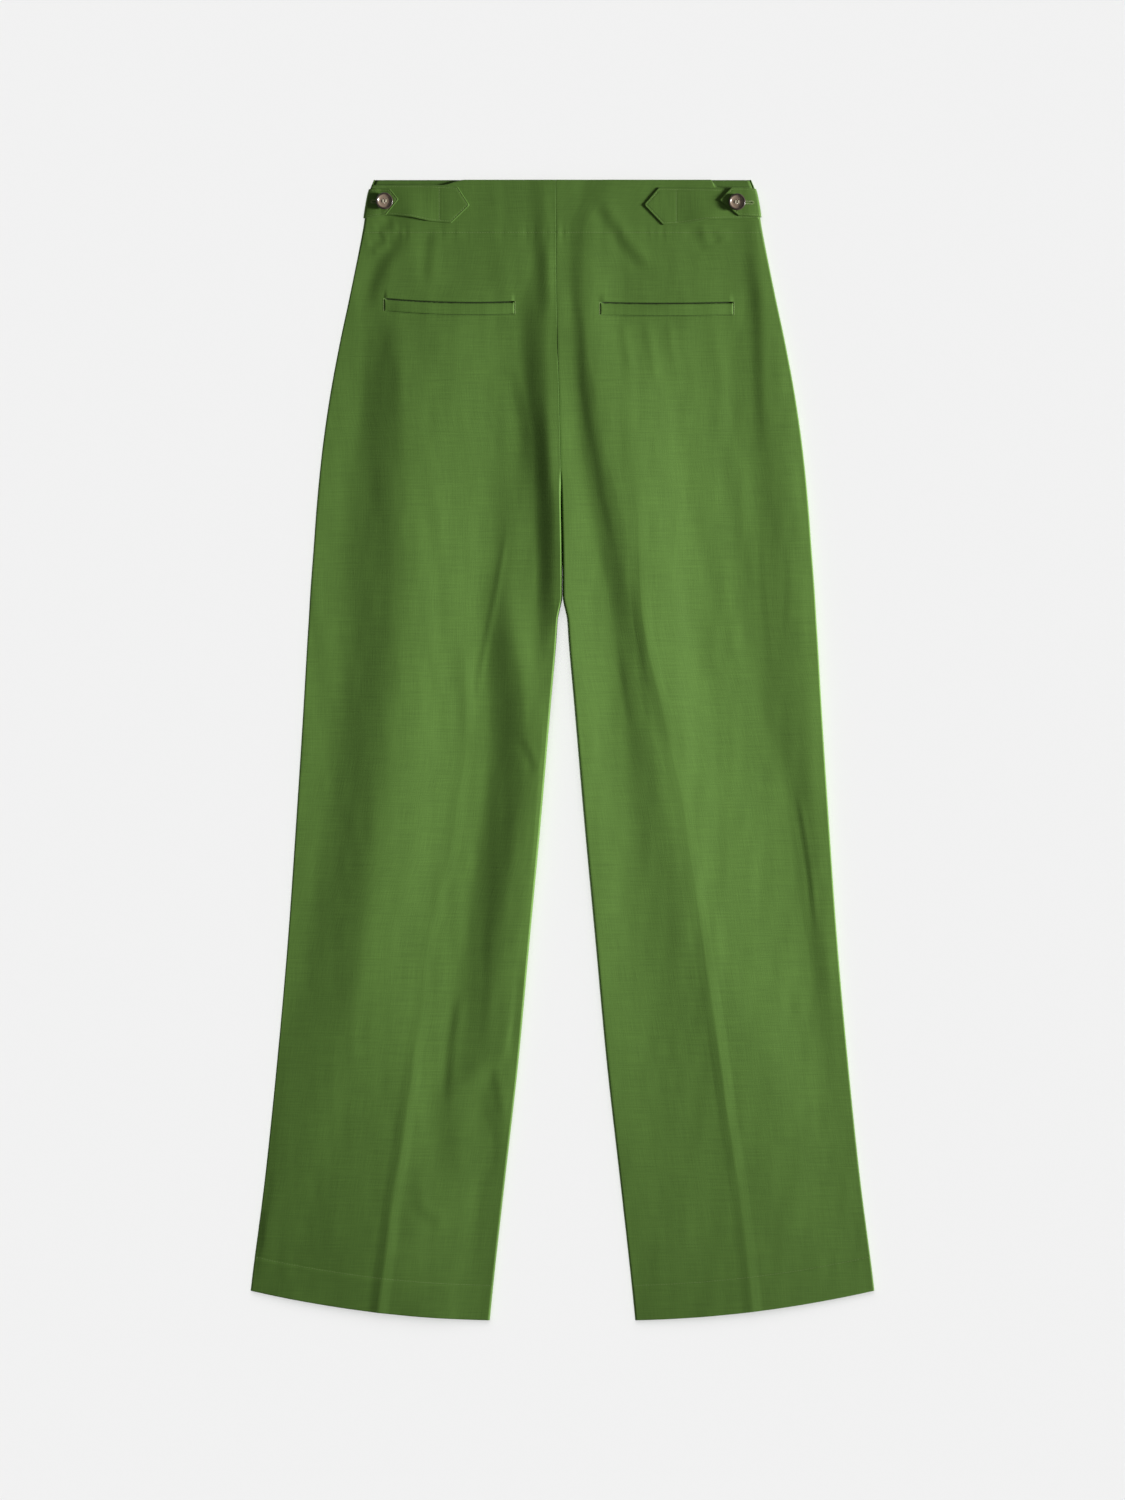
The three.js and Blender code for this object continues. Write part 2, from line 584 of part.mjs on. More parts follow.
const cloth = (colour) => new THREE.MeshStandardMaterial({ color: colour, roughness: 0.9, metalness: 0 });
const clothMaterial = cloth(COLOURS.cloth);
const facingMaterial = cloth(COLOURS.facing);
const hornMaterial = new THREE.MeshStandardMaterial({ color: COLOURS.button, roughness: 0.3, metalness: 0 });

const trousers = new THREE.Group();

function add(name, geometry, material) {
  geometry.computeVertexNormals();
  const mesh = new THREE.Mesh(geometry, material);
  mesh.name = name;
  trousers.add(mesh);
  return mesh;
}

const buttonGeometry = buttonBody();

for (const leg of [LEFT, RIGHT]) {
  add(`back_leg_${leg.name}`, backPanel(leg), clothMaterial);
  add(`front_leg_${leg.name}`, frontPanel(leg), clothMaterial);
  add(`front_facing_${leg.name}`, frontFacing(leg), facingMaterial);
  add(`pocket_welt_${leg.name}`, pocketWelt(leg), clothMaterial);
  add(`adjuster_strap_${leg.name}`, adjusterStrap(leg), clothMaterial);
  add(`adjuster_tab_${leg.name}`, adjusterTab(leg), clothMaterial);

  const { x, y, tilt } = leg.button;
  const lean = THREE.MathUtils.degToRad(tilt);
  const rest = Math.max(...[-1, 0, 1].map((end) => strapLiftOf(leg)(x + end * BUTTON_RADIUS)));
  const seat = tabBase + DOUBLED + rest + GAP + BUTTON_RADIUS * Math.sin(lean);
  const button = add(`button_${leg.name}`, buttonGeometry.clone(), hornMaterial);
  button.position.copy(onPanel(leg, x, y, seat));
  button.rotation.set(0, -leg.side * lean, 0);
}

export default trousers;
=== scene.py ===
# Wide-leg trousers with buttoned waist adjusters, lying flat with their back up.
# Metres. +X is the wearer's right, +Y runs to the waist, +Z is up. Left and right in names are
# the wearer's, as on the solids that the pieces stand for.

import math

import bpy
import numpy as np
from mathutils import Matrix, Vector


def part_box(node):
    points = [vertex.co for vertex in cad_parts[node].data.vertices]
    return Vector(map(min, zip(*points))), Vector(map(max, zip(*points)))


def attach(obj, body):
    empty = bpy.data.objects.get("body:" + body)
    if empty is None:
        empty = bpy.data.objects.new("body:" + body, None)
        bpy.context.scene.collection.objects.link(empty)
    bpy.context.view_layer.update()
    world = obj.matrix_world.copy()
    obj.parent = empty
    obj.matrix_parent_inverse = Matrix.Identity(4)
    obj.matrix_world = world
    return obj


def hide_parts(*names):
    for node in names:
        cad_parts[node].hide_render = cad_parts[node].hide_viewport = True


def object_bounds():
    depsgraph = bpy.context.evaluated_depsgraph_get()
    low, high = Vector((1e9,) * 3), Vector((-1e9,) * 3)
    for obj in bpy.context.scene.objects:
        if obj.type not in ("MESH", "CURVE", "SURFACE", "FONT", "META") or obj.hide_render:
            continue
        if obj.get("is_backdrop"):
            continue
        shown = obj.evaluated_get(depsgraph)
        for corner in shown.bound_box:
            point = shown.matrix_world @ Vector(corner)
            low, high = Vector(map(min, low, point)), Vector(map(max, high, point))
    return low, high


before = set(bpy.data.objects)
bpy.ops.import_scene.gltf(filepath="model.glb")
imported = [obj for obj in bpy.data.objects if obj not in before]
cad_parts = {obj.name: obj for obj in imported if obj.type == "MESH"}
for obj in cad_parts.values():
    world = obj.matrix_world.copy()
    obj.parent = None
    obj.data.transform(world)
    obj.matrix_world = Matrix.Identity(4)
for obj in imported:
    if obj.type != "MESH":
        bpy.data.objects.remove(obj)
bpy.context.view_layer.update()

# ---- Camera ----
# Straight above the trousers, far enough away to show them almost without perspective.

VIEW_HEIGHT = 1.422
LENS_MM = 100
SENSOR_MM = 36

camera_data = bpy.data.cameras.new("overhead camera")
camera_data.lens = LENS_MM
camera_data.sensor_width = SENSOR_MM
camera = bpy.data.objects.new("overhead camera", camera_data)
camera.location = (0, 0, VIEW_HEIGHT * LENS_MM / SENSOR_MM)
bpy.context.scene.collection.objects.link(camera)
bpy.context.scene.camera = camera
bpy.context.scene.view_settings.view_transform = "Standard"

# ---- Table and light ----
# A pale matt table. A fill without shadows and a soft sun light the table alone, so that it keeps
# one tone from edge to edge. A soft key lamp, low on the wearer's right, lights the cloth alone
# and brings out its folds.

TABLE_SIZE = 8.0
TABLE_WHITE = 0.82
SKY_STRENGTH = 0.15
FILL_STRENGTH = 2.90
SUN_STRENGTH = 0.85
SUN_SOFTNESS = math.radians(60)
SUN_FROM = (-0.10, 0.80, 1.0)
KEY_PLACE = (4.75, 0.15, 1.46)
KEY_AIM = (0.45, 0.06, 0.0)
KEY_RADIUS = 0.65
KEY_BEAM = math.radians(24.5)
KEY_POWER = 3380.0


def aim(thing, start, end):
    """Turns a lamp at start so that it shines towards end."""
    direction = np.array(start) - np.array(end)
    flat = math.hypot(direction[0], direction[1])
    thing.rotation_euler = (math.atan2(flat, direction[2]), 0, math.atan2(direction[0], -direction[1]))


table_mesh = bpy.data.meshes.new("table")
half = TABLE_SIZE / 2
table_mesh.from_pydata(
    [(-half, -half, 0), (half, -half, 0), (half, half, 0), (-half, half, 0)], [], [(0, 1, 2, 3)]
)
table = bpy.data.objects.new("table", table_mesh)
bpy.context.scene.collection.objects.link(table)
table_paint = bpy.data.materials.new("matt white table")
table_paint.use_nodes = True
table_shader = table_paint.node_tree.nodes["Principled BSDF"]
table_shader.inputs["Base Color"].default_value = (TABLE_WHITE, TABLE_WHITE, TABLE_WHITE, 1)
table_shader.inputs["Roughness"].default_value = 1.0
table_shader.inputs["Specular IOR Level"].default_value = 0.0
table_mesh.materials.append(table_paint)
table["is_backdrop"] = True

sky = bpy.data.worlds.new("even sky")
sky.use_nodes = True
sky.node_tree.nodes["Background"].inputs["Color"].default_value = (1, 1, 1, 1)
sky.node_tree.nodes["Background"].inputs["Strength"].default_value = SKY_STRENGTH
bpy.context.scene.world = sky

lit_by_sun = bpy.data.collections.new("lit by the sun")
lit_by_sun.objects.link(table)
for name, strength, shadows in (("table fill", FILL_STRENGTH, False), ("soft sun", SUN_STRENGTH, True)):
    sun_data = bpy.data.lights.new(name, "SUN")
    sun_data.energy = strength
    sun_data.angle = SUN_SOFTNESS
    sun_data.use_shadow = shadows
    sun = bpy.data.objects.new(name, sun_data)
    aim(sun, SUN_FROM, (0, 0, 0))
    bpy.context.scene.collection.objects.link(sun)
    sun.light_linking.receiver_collection = lit_by_sun

key_data = bpy.data.lights.new("soft key", "SPOT")
key_data.shadow_soft_size = KEY_RADIUS
key_data.spot_size = KEY_BEAM
key_data.spot_blend = 1.0
key_data.energy = KEY_POWER
key = bpy.data.objects.new("soft key", key_data)
key.location = KEY_PLACE
aim(key, KEY_PLACE, KEY_AIM)
bpy.context.scene.collection.objects.link(key)
lit_by_key = bpy.data.collections.new("lit by the key")
key.light_linking.receiver_collection = lit_by_key

# ---- Green linen ----
# Plain-woven linen and viscose, matt, with uneven threads and slubs both ways. Every piece
# carries an attribute "grain": metres across and along its threads.

LINEN_DEEP = (0.068, 0.139, 0.022, 1)
LINEN_PALE = (0.100, 0.201, 0.034, 1)
THREAD_PITCH = 0.00055
WEAVE_DEPTH = 0.00010
SLUB_DEPTH = 0.00006


class Wiring:
    """A node tree with short calls for the few kinds of node that the finishes use."""

    def __init__(self, tree):
        self.tree = tree

    def node(self, kind, **settings):
        made = self.tree.nodes.new(kind)
        for name, value in settings.items():
            setattr(made, name, value)
        return made

    def feed(self, socket, value):
        if isinstance(value, bpy.types.NodeSocket):
            self.tree.links.new(value, socket)
        else:
            socket.default_value = value

    def math(self, operation, first, second=0.0):
        made = self.node("ShaderNodeMath", operation=operation)
        self.feed(made.inputs[0], first)
        self.feed(made.inputs[1], second)
        return made.outputs[0]

    def stretched_noise(self, vector, stretch, detail=2.0):
        """Noise whose cells are 1 / stretch metres long each way."""
        scaled = self.node("ShaderNodeVectorMath", operation="MULTIPLY")
        self.feed(scaled.inputs[0], vector)
        scaled.inputs[1].default_value = stretch
        noise = self.node("ShaderNodeTexNoise")
        noise.inputs["Scale"].default_value = 1.0
        noise.inputs["Detail"].default_value = detail
        self.feed(noise.inputs["Vector"], scaled.outputs[0])
        return noise.outputs["Fac"]

    def remap(self, value, low, high, to_low=0.0, to_high=1.0):
        made = self.node("ShaderNodeMapRange")
        for socket, amount in zip(made.inputs, (value, low, high, to_low, to_high)):
            self.feed(socket, amount)
        return made.outputs["Result"]


def linen_weave():
    """Group: thread relief and colour of the linen, from a piece's grain."""
    tree = bpy.data.node_groups.new("linen weave", "ShaderNodeTree")
    tree.interface.new_socket("Grain", in_out="INPUT", socket_type="NodeSocketVector")
    tree.interface.new_socket("Thread Pitch", in_out="INPUT", socket_type="NodeSocketFloat")
    tree.interface.new_socket("Height", in_out="OUTPUT", socket_type="NodeSocketFloat")
    tree.interface.new_socket("Tone", in_out="OUTPUT", socket_type="NodeSocketFloat")
    w = Wiring(tree)
    given = w.node("NodeGroupInput")
    grain = given.outputs["Grain"]
    split = w.node("ShaderNodeSeparateXYZ")
    w.feed(split.inputs[0], grain)
    turn = w.math("DIVIDE", math.pi, given.outputs["Thread Pitch"])
    across = w.math("SINE", w.math("MULTIPLY", split.outputs["X"], turn))
    along = w.math("SINE", w.math("MULTIPLY", split.outputs["Y"], turn))
    crossing = w.math("MULTIPLY", across, along)

    warp = w.stretched_noise(grain, (1100, 40, 1))
    weft = w.stretched_noise(grain, (30, 1000, 1))
    slub_weft = w.remap(w.stretched_noise(grain, (45, 900, 1), 1.0), 0.66, 0.76)
    slub_warp = w.remap(w.stretched_noise(grain, (950, 50, 3), 1.0), 0.70, 0.80)
    cloudy = w.stretched_noise(grain, (28, 12, 1), 3.0)
    slubs = w.math("MAXIMUM", slub_weft, slub_warp)

    threads = w.math("ADD", w.math("MULTIPLY", crossing, 0.5), w.math("ADD", warp, weft))
    height = w.math("ADD", threads, w.math("MULTIPLY", slubs, SLUB_DEPTH / WEAVE_DEPTH))
    tone = w.math("ADD", w.math("MULTIPLY", warp, 0.55), w.math("MULTIPLY", weft, 0.75))
    tone = w.math("ADD", tone, w.math("MULTIPLY", cloudy, 0.5))
    tone = w.math("SUBTRACT", tone, w.math("MULTIPLY", slubs, 0.10))
    out = w.node("NodeGroupOutput")
    w.feed(out.inputs["Height"], height)
    w.feed(out.inputs["Tone"], w.remap(tone, 0.55, 1.25))
    return tree


weave_group = linen_weave()


def linen(name, deep=LINEN_DEEP, pale=LINEN_PALE):
    """A linen finish between two greens. Painted shade darkens it inside narrow seams and openings, following
    a shade attribute on the piece.
    """
    material = bpy.data.materials.new(name)
    material.use_nodes = True
    w = Wiring(material.node_tree)
    shader = material.node_tree.nodes["Principled BSDF"]
    grain = w.node("ShaderNodeAttribute", attribute_name="grain")
    weave = w.node("ShaderNodeGroup", node_tree=weave_group)
    w.feed(weave.inputs["Grain"], grain.outputs["Vector"])
    weave.inputs["Thread Pitch"].default_value = THREAD_PITCH
    green = w.node("ShaderNodeMix", data_type="RGBA")
    w.feed(green.inputs["Factor"], weave.outputs["Tone"])
    colour_in = [s for s in green.inputs if s.type == "RGBA"]
    colour_in[0].default_value = deep
    colour_in[1].default_value = pale
    # Painted shade: the green is scaled down by the piece's shade attribute where a seam or opening lies in
    # shadow.
    hollow = w.node("ShaderNodeAttribute", attribute_name="hollow")
    unshaded_part = w.math("SUBTRACT", 1.0, hollow.outputs["Fac"])
    shaded = w.node("ShaderNodeVectorMath", operation="SCALE")
    w.feed(shaded.inputs[0], [s for s in green.outputs if s.type == "RGBA"][0])
    w.feed(shaded.inputs["Scale"], unshaded_part)
    w.feed(shader.inputs["Base Color"], shaded.outputs["Vector"])
    bump = w.node("ShaderNodeBump")
    bump.inputs["Strength"].default_value = 0.5
    bump.inputs["Distance"].default_value = WEAVE_DEPTH
    w.feed(bump.inputs["Height"], weave.outputs["Height"])
    w.feed(shader.inputs["Normal"], bump.outputs["Normal"])
    shader.inputs["Roughness"].default_value = 0.66
    shader.inputs["Specular IOR Level"].default_value = 0.20
    shader.inputs["Sheen Weight"].default_value = 0.06
    shader.inputs["Sheen Roughness"].default_value = 0.5
    shader.inputs["Sheen Tint"].default_value = (0.75, 0.85, 0.6, 1)
    return material


green_linen = linen("green linen")


def finished_piece(name, verts, faces, material, grain=None, hollow=None):
    """A smooth mesh piece on the one body, lit by the key."""
    mesh = bpy.data.meshes.new(name)
    mesh.from_pydata([tuple(map(float, p)) for p in verts], [], faces)
    mesh.materials.append(material)
    mesh.polygons.foreach_set("use_smooth", np.ones(len(mesh.polygons), dtype=bool))
    if grain is not None:
        threads = mesh.attributes.new("grain", "FLOAT_VECTOR", "POINT")
        threads.data.foreach_set("vector", np.asarray(grain, dtype=np.float32).ravel())
    # Painted shade: a point attribute from 0 to 1 that darkens the colour where shade falls, not a real
    # depth.
    if hollow is not None:
        depth = mesh.attributes.new("hollow", "FLOAT", "POINT")
        depth.data.foreach_set("value", np.asarray(hollow, dtype=np.float32).ravel())
    mesh.update()
    piece = bpy.data.objects.new(name, mesh)
    bpy.context.scene.collection.objects.link(piece)
    lit_by_key.objects.link(piece)
    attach(piece, "root")
    return piece


# ---- Back panels ----
# Two panels, each from the waist edge to the hem, sewn to each other at the centre back and to
# the fronts at the side and the inside leg. They lie over the fronts in long soft folds, with a
# pressed crease down each leg, a turned-up hem and a faced waist.

WAIST_Y = 0.540
HEM_Y = -0.540
CROTCH_Y = 0.147
HEM_RISE = 0.028
HEM_SAG = 0.0056
HEM_TILT_FROM = -0.250
CLOTH = 0.0012
SEAM_GAP = 0.0003
CENTRE_GAP = 0.0001
SEAM_Z = 0.0025
EDGE_Z = 0.0048
INNER_ROLL = 0.0018
SIDE_ROLL = 0.0014
WAIST_STITCH_Y = 0.490
HEM_DEPTH = 0.033
GROOVE_START, GROOVE_END = 0.268, 0.205
FORK_START = 0.195

# Half outline: height, distance of the outer edge, distance of the inner edge.
OUTLINE = [
    (0.540, 0.1787, 0.0),
    (0.5305, 0.1825, 0.0),
    (0.490, 0.1896, 0.0),
    (0.426, 0.2024, 0.0),
    (0.388, 0.2105, 0.0),
    (0.331, 0.2210, 0.0),
    (0.284, 0.2276, 0.0),
    (0.237, 0.2324, 0.0),
    (0.189, 0.2360, 0.0),
    (0.147, 0.2391, 0.0),
    (0.123, 0.2405, 0.0043),
    (0.104, 0.2417, 0.0056),
    (0.047, 0.2450, 0.0106),
    (-0.067, 0.2523, 0.0204),
    (-0.180, 0.2602, 0.0310),
    (-0.294, 0.2703, 0.0416),
    (-0.408, 0.2822, 0.0545),
    (-0.508, 0.2950, 0.0656),
    (-0.540, 0.2984, 0.0688),
]
CENTRE_BACK = [
    (0.540, -0.0066), (0.426, -0.0057), (0.331, -0.0033), (0.260, -0.0017), (0.147, 0.0), (-0.540, 0.0),
]

# Folds, a row for each section: its height along the leg, then for each fold its distance from
# the centre line and the height of the cloth there, and last the heights at the inner edge and
# at the side.
# Left, from the inner edge out: ridge, valley, bump, dip, crease, crest, foot.
FOLDS_LEFT = [
    (
        0.540, (0.018, 0.0052), (0.032, 0.0048), (0.046, 0.0049), (0.062, 0.0048), (0.092, 0.0049),
        (0.135, 0.0048), (0.170, 0.0046), 0.0052, 0.0048,
    ),
    (
        0.490, (0.014, 0.0064), (0.030, 0.0054), (0.045, 0.0056), (0.070, 0.0054), (0.088, 0.0054),
        (0.138, 0.0056), (0.172, 0.0047), 0.0062, 0.0048,
    ),
    (
        0.450, (0.014, 0.0074), (0.032, 0.0060), (0.048, 0.0061), (0.075, 0.0056), (0.092, 0.0055),
        (0.150, 0.0061), (0.182, 0.0047), 0.0070, 0.0048,
    ),
    (
        0.426, (0.012, 0.0081), (0.040, 0.0056), (0.058, 0.0058), (0.078, 0.0061), (0.098, 0.0063),
        (0.150, 0.0058), (0.190, 0.0049), 0.0079, 0.0048,
    ),
    (
        0.379, (0.013, 0.0092), (0.044, 0.0052), (0.058, 0.0056), (0.076, 0.0064), (0.102, 0.0077),
        (0.150, 0.0081), (0.190, 0.0048), 0.0092, 0.0049,
    ),
    (
        0.331, (0.013, 0.0114), (0.034, 0.0075), (0.047, 0.0063), (0.067, 0.0068), (0.100, 0.0084),
        (0.149, 0.0095), (0.193, 0.0048), 0.0112, 0.0050,
    ),
    (
        0.284, (0.011, 0.0119), (0.028, 0.0079), (0.042, 0.0063), (0.061, 0.0061), (0.092, 0.0073),
        (0.146, 0.0095), (0.200, 0.0047), 0.0116, 0.0052,
    ),
    (
        0.237, (0.0075, 0.0112), (0.027, 0.0069), (0.042, 0.0061), (0.066, 0.0051), (0.090, 0.0063),
        (0.147, 0.0095), (0.206, 0.0047), 0.0115, 0.0053,
    ),
    (
        0.189, (0.0070, 0.0103), (0.026, 0.0063), (0.045, 0.0060), (0.067, 0.0048), (0.090, 0.0062),
        (0.147, 0.0100), (0.212, 0.0047), 0.0107, 0.0053,
    ),
    (
        0.142, (0.0070, 0.0094), (0.026, 0.0060), (0.048, 0.0064), (0.074, 0.0048), (0.092, 0.0060),
        (0.149, 0.0100), (0.212, 0.0047), 0.0098, 0.0052,
    ),
    (
        0.094, (0.013, 0.0082), (0.022, 0.0078), (0.042, 0.0087), (0.074, 0.0048), (0.092, 0.0058),
        (0.153, 0.0097), (0.214, 0.0048), 0.0084, 0.0052,
    ),
    (
        0.047, (0.018, 0.0093), (0.024, 0.0094), (0.034, 0.0095), (0.071, 0.0048), (0.092, 0.0058),
        (0.158, 0.0101), (0.218, 0.0050), 0.0091, 0.0054,
    ),
    (
        0.000, (0.021, 0.0107), (0.026, 0.0106), (0.033, 0.0101), (0.073, 0.0047), (0.092, 0.0054),
        (0.165, 0.0105), (0.220, 0.0053), 0.0104, 0.0057,
    ),
    (
        -0.048, (0.025, 0.0106), (0.029, 0.0105), (0.038, 0.0099), (0.078, 0.0047), (0.100, 0.0056),
        (0.170, 0.0105), (0.227, 0.0055), 0.0102, 0.0057,
    ),
    (
        -0.095, (0.029, 0.0102), (0.034, 0.0102), (0.043, 0.0098), (0.083, 0.0047), (0.106, 0.0058),
        (0.176, 0.0106), (0.235, 0.0056), 0.0098, 0.0056,
    ),
    (
        -0.143, (0.034, 0.0093), (0.039, 0.0094), (0.049, 0.0091), (0.088, 0.0047), (0.119, 0.0062),
        (0.182, 0.0103), (0.240, 0.0055), 0.0090, 0.0054,
    ),
    (
        -0.190, (0.038, 0.0086), (0.045, 0.0089), (0.054, 0.0087), (0.094, 0.0047), (0.1285, 0.0061),
        (0.189, 0.0099), (0.247, 0.0055), 0.0083, 0.0053,
    ),
    (
        -0.237, (0.043, 0.0076), (0.050, 0.0079), (0.060, 0.0078), (0.101, 0.0047), (0.1325, 0.0064),
        (0.190, 0.0094), (0.254, 0.0052), 0.0077, 0.0050,
    ),
    (
        -0.284, (0.048, 0.0068), (0.056, 0.0073), (0.065, 0.0070), (0.108, 0.0049), (0.1395, 0.0068),
        (0.200, 0.0084), (0.260, 0.0052), 0.0067, 0.0048,
    ),
    (
        -0.332, (0.054, 0.0067), (0.077, 0.0053), (0.100, 0.0061), (0.117, 0.0055), (0.1460, 0.0076),
        (0.212, 0.0077), (0.264, 0.0053), 0.0064, 0.0048,
    ),
    (
        -0.380, (0.058, 0.0057), (0.067, 0.0053), (0.100, 0.0065), (0.118, 0.0061), (0.1525, 0.0083),
        (0.226, 0.0074), (0.268, 0.0056), 0.0058, 0.0048,
    ),
    (
        -0.427, (0.064, 0.0054), (0.077, 0.0053), (0.100, 0.0072), (0.120, 0.0081), (0.1605, 0.0094),
        (0.236, 0.0075), (0.272, 0.0057), 0.0055, 0.0048,
    ),
    (
        -0.474, (0.070, 0.0052), (0.080, 0.0052), (0.104, 0.0068), (0.128, 0.0087), (0.1660, 0.0104),
        (0.244, 0.0077), (0.279, 0.0060), 0.0053, 0.0048,
    ),
    (
        -0.540, (0.077, 0.0053), (0.088, 0.0057), (0.112, 0.0076), (0.136, 0.0087), (0.1745, 0.0084),
        (0.252, 0.0069), (0.288, 0.0052), 0.0053, 0.0048,
    ),
]
# Right, from the inner edge out: trough, shoulder, crease, fall, hollow, swell.
FOLDS_RIGHT = [
    (
        0.540, (0.022, 0.0048), (0.046, 0.0053), (0.075, 0.0050), (0.112, 0.0048), (0.152, 0.0047),
        (0.173, 0.0047), 0.0052, 0.0048,
    ),
    (
        0.490, (0.006, 0.0056), (0.022, 0.0066), (0.052, 0.0057), (0.100, 0.0054), (0.168, 0.0047),
        (0.183, 0.0052), 0.0060, 0.0049,
    ),
    (
        0.450, (0.006, 0.0068), (0.021, 0.0078), (0.060, 0.0053), (0.102, 0.0057), (0.166, 0.0046),
        (0.188, 0.0059), 0.0070, 0.0056,
    ),
    (
        0.426, (0.007, 0.0073), (0.021, 0.0083), (0.060, 0.0054), (0.114, 0.0059), (0.171, 0.0046),
        (0.192, 0.0063), 0.0077, 0.0060,
    ),
    (
        0.379, (0.008, 0.0090), (0.025, 0.0107), (0.058, 0.0084), (0.124, 0.0056), (0.166, 0.0046),
        (0.200, 0.0067), 0.0094, 0.0063,
    ),
    (
        0.331, (0.011, 0.0094), (0.034, 0.0121), (0.062, 0.0105), (0.122, 0.0060), (0.168, 0.0047),
        (0.205, 0.0066), 0.0102, 0.0062,
    ),
    (
        0.284, (0.017, 0.0094), (0.041, 0.0120), (0.064, 0.0112), (0.123, 0.0064), (0.174, 0.0046),
        (0.211, 0.0066), 0.0106, 0.0062,
    ),
    (
        0.237, (0.025, 0.0087), (0.054, 0.0117), (0.070, 0.0110), (0.126, 0.0061), (0.178, 0.0046),
        (0.217, 0.0067), 0.0101, 0.0064,
    ),
    (
        0.189, (0.033, 0.0079), (0.062, 0.0106), (0.072, 0.0103), (0.138, 0.0051), (0.172, 0.0047),
        (0.220, 0.0073), 0.0102, 0.0071,
    ),
    (
        0.142, (0.043, 0.0073), (0.065, 0.0097), (0.074, 0.0101), (0.144, 0.0048), (0.177, 0.0049),
        (0.226, 0.0078), 0.0103, 0.0076,
    ),
    (
        0.094, (0.049, 0.0073), (0.068, 0.0088), (0.081, 0.0098), (0.140, 0.0052), (0.181, 0.0048),
        (0.231, 0.0079), 0.0106, 0.0078,
    ),
    (
        0.047, (0.051, 0.0073), (0.073, 0.0091), (0.0925, 0.0101), (0.146, 0.0056), (0.186, 0.0047),
        (0.235, 0.0078), 0.0105, 0.0077,
    ),
    (
        0.000, (0.057, 0.0069), (0.090, 0.0091), (0.1025, 0.0089), (0.149, 0.0053), (0.198, 0.0047),
        (0.238, 0.0074), 0.0101, 0.0074,
    ),
    (
        -0.048, (0.064, 0.0072), (0.098, 0.0091), (0.113, 0.0087), (0.150, 0.0062), (0.210, 0.0046),
        (0.241, 0.0072), 0.0101, 0.0073,
    ),
    (
        -0.095, (0.069, 0.0071), (0.107, 0.0090), (0.120, 0.0086), (0.150, 0.0065), (0.215, 0.0046),
        (0.244, 0.0069), 0.0096, 0.0070,
    ),
    (
        -0.143, (0.072, 0.0072), (0.116, 0.0089), (0.1275, 0.0088), (0.154, 0.0069), (0.222, 0.0046),
        (0.248, 0.0066), 0.0094, 0.0067,
    ),
    (
        -0.190, (0.076, 0.0067), (0.120, 0.0084), (0.134, 0.0085), (0.162, 0.0071), (0.231, 0.0047),
        (0.252, 0.0062), 0.0085, 0.0061,
    ),
    (
        -0.237, (0.080, 0.0068), (0.116, 0.0079), (0.141, 0.0088), (0.172, 0.0076), (0.238, 0.0047),
        (0.256, 0.0058), 0.0082, 0.0060,
    ),
    (
        -0.284, (0.088, 0.0062), (0.126, 0.0072), (0.148, 0.0081), (0.184, 0.0074), (0.244, 0.0047),
        (0.260, 0.0052), 0.0073, 0.0053,
    ),
    (
        -0.332, (0.090, 0.0062), (0.134, 0.0068), (0.154, 0.0071), (0.194, 0.0069), (0.252, 0.0047),
        (0.264, 0.0049), 0.0069, 0.0049,
    ),
    (
        -0.380, (0.090, 0.0063), (0.138, 0.0064), (0.161, 0.0067), (0.202, 0.0064), (0.258, 0.0049),
        (0.270, 0.0048), 0.0065, 0.0048,
    ),
    (
        -0.427, (0.092, 0.0062), (0.142, 0.0062), (0.1675, 0.0064), (0.206, 0.0063), (0.264, 0.0049),
        (0.276, 0.0048), 0.0061, 0.0048,
    ),
    (
        -0.474, (0.100, 0.0060), (0.134, 0.0057), (0.1735, 0.0062), (0.215, 0.0060), (0.276, 0.0047),
        (0.283, 0.0048), 0.0057, 0.0048,
    ),
    (
        -0.540, (0.086, 0.0058), (0.140, 0.0071), (0.1800, 0.0072), (0.220, 0.0065), (0.282, 0.0050),
        (0.290, 0.0048), 0.0055, 0.0048,
    ),
]

# Sharp crease on top of the folds: height along the leg, lift.
CREASE_LIFT = {
    "left": [
        (0.100, 0.0), (0.080, 0.0003), (0.0, 0.0002), (-0.200, 0.0002), (-0.300, 0.0004), (-0.400, 0.0007),
        (-0.540, 0.0011),
    ],
    "right": [
        (0.260, 0.0), (0.140, 0.0005), (0.100, 0.0005), (0.0, 0.0002), (-0.090, 0.0002), (-0.200, 0.0004),
        (-0.320, 0.0007), (-0.430, 0.0004), (-0.540, 0.0007),
    ],
}
CREASE_WIDTH = 0.009

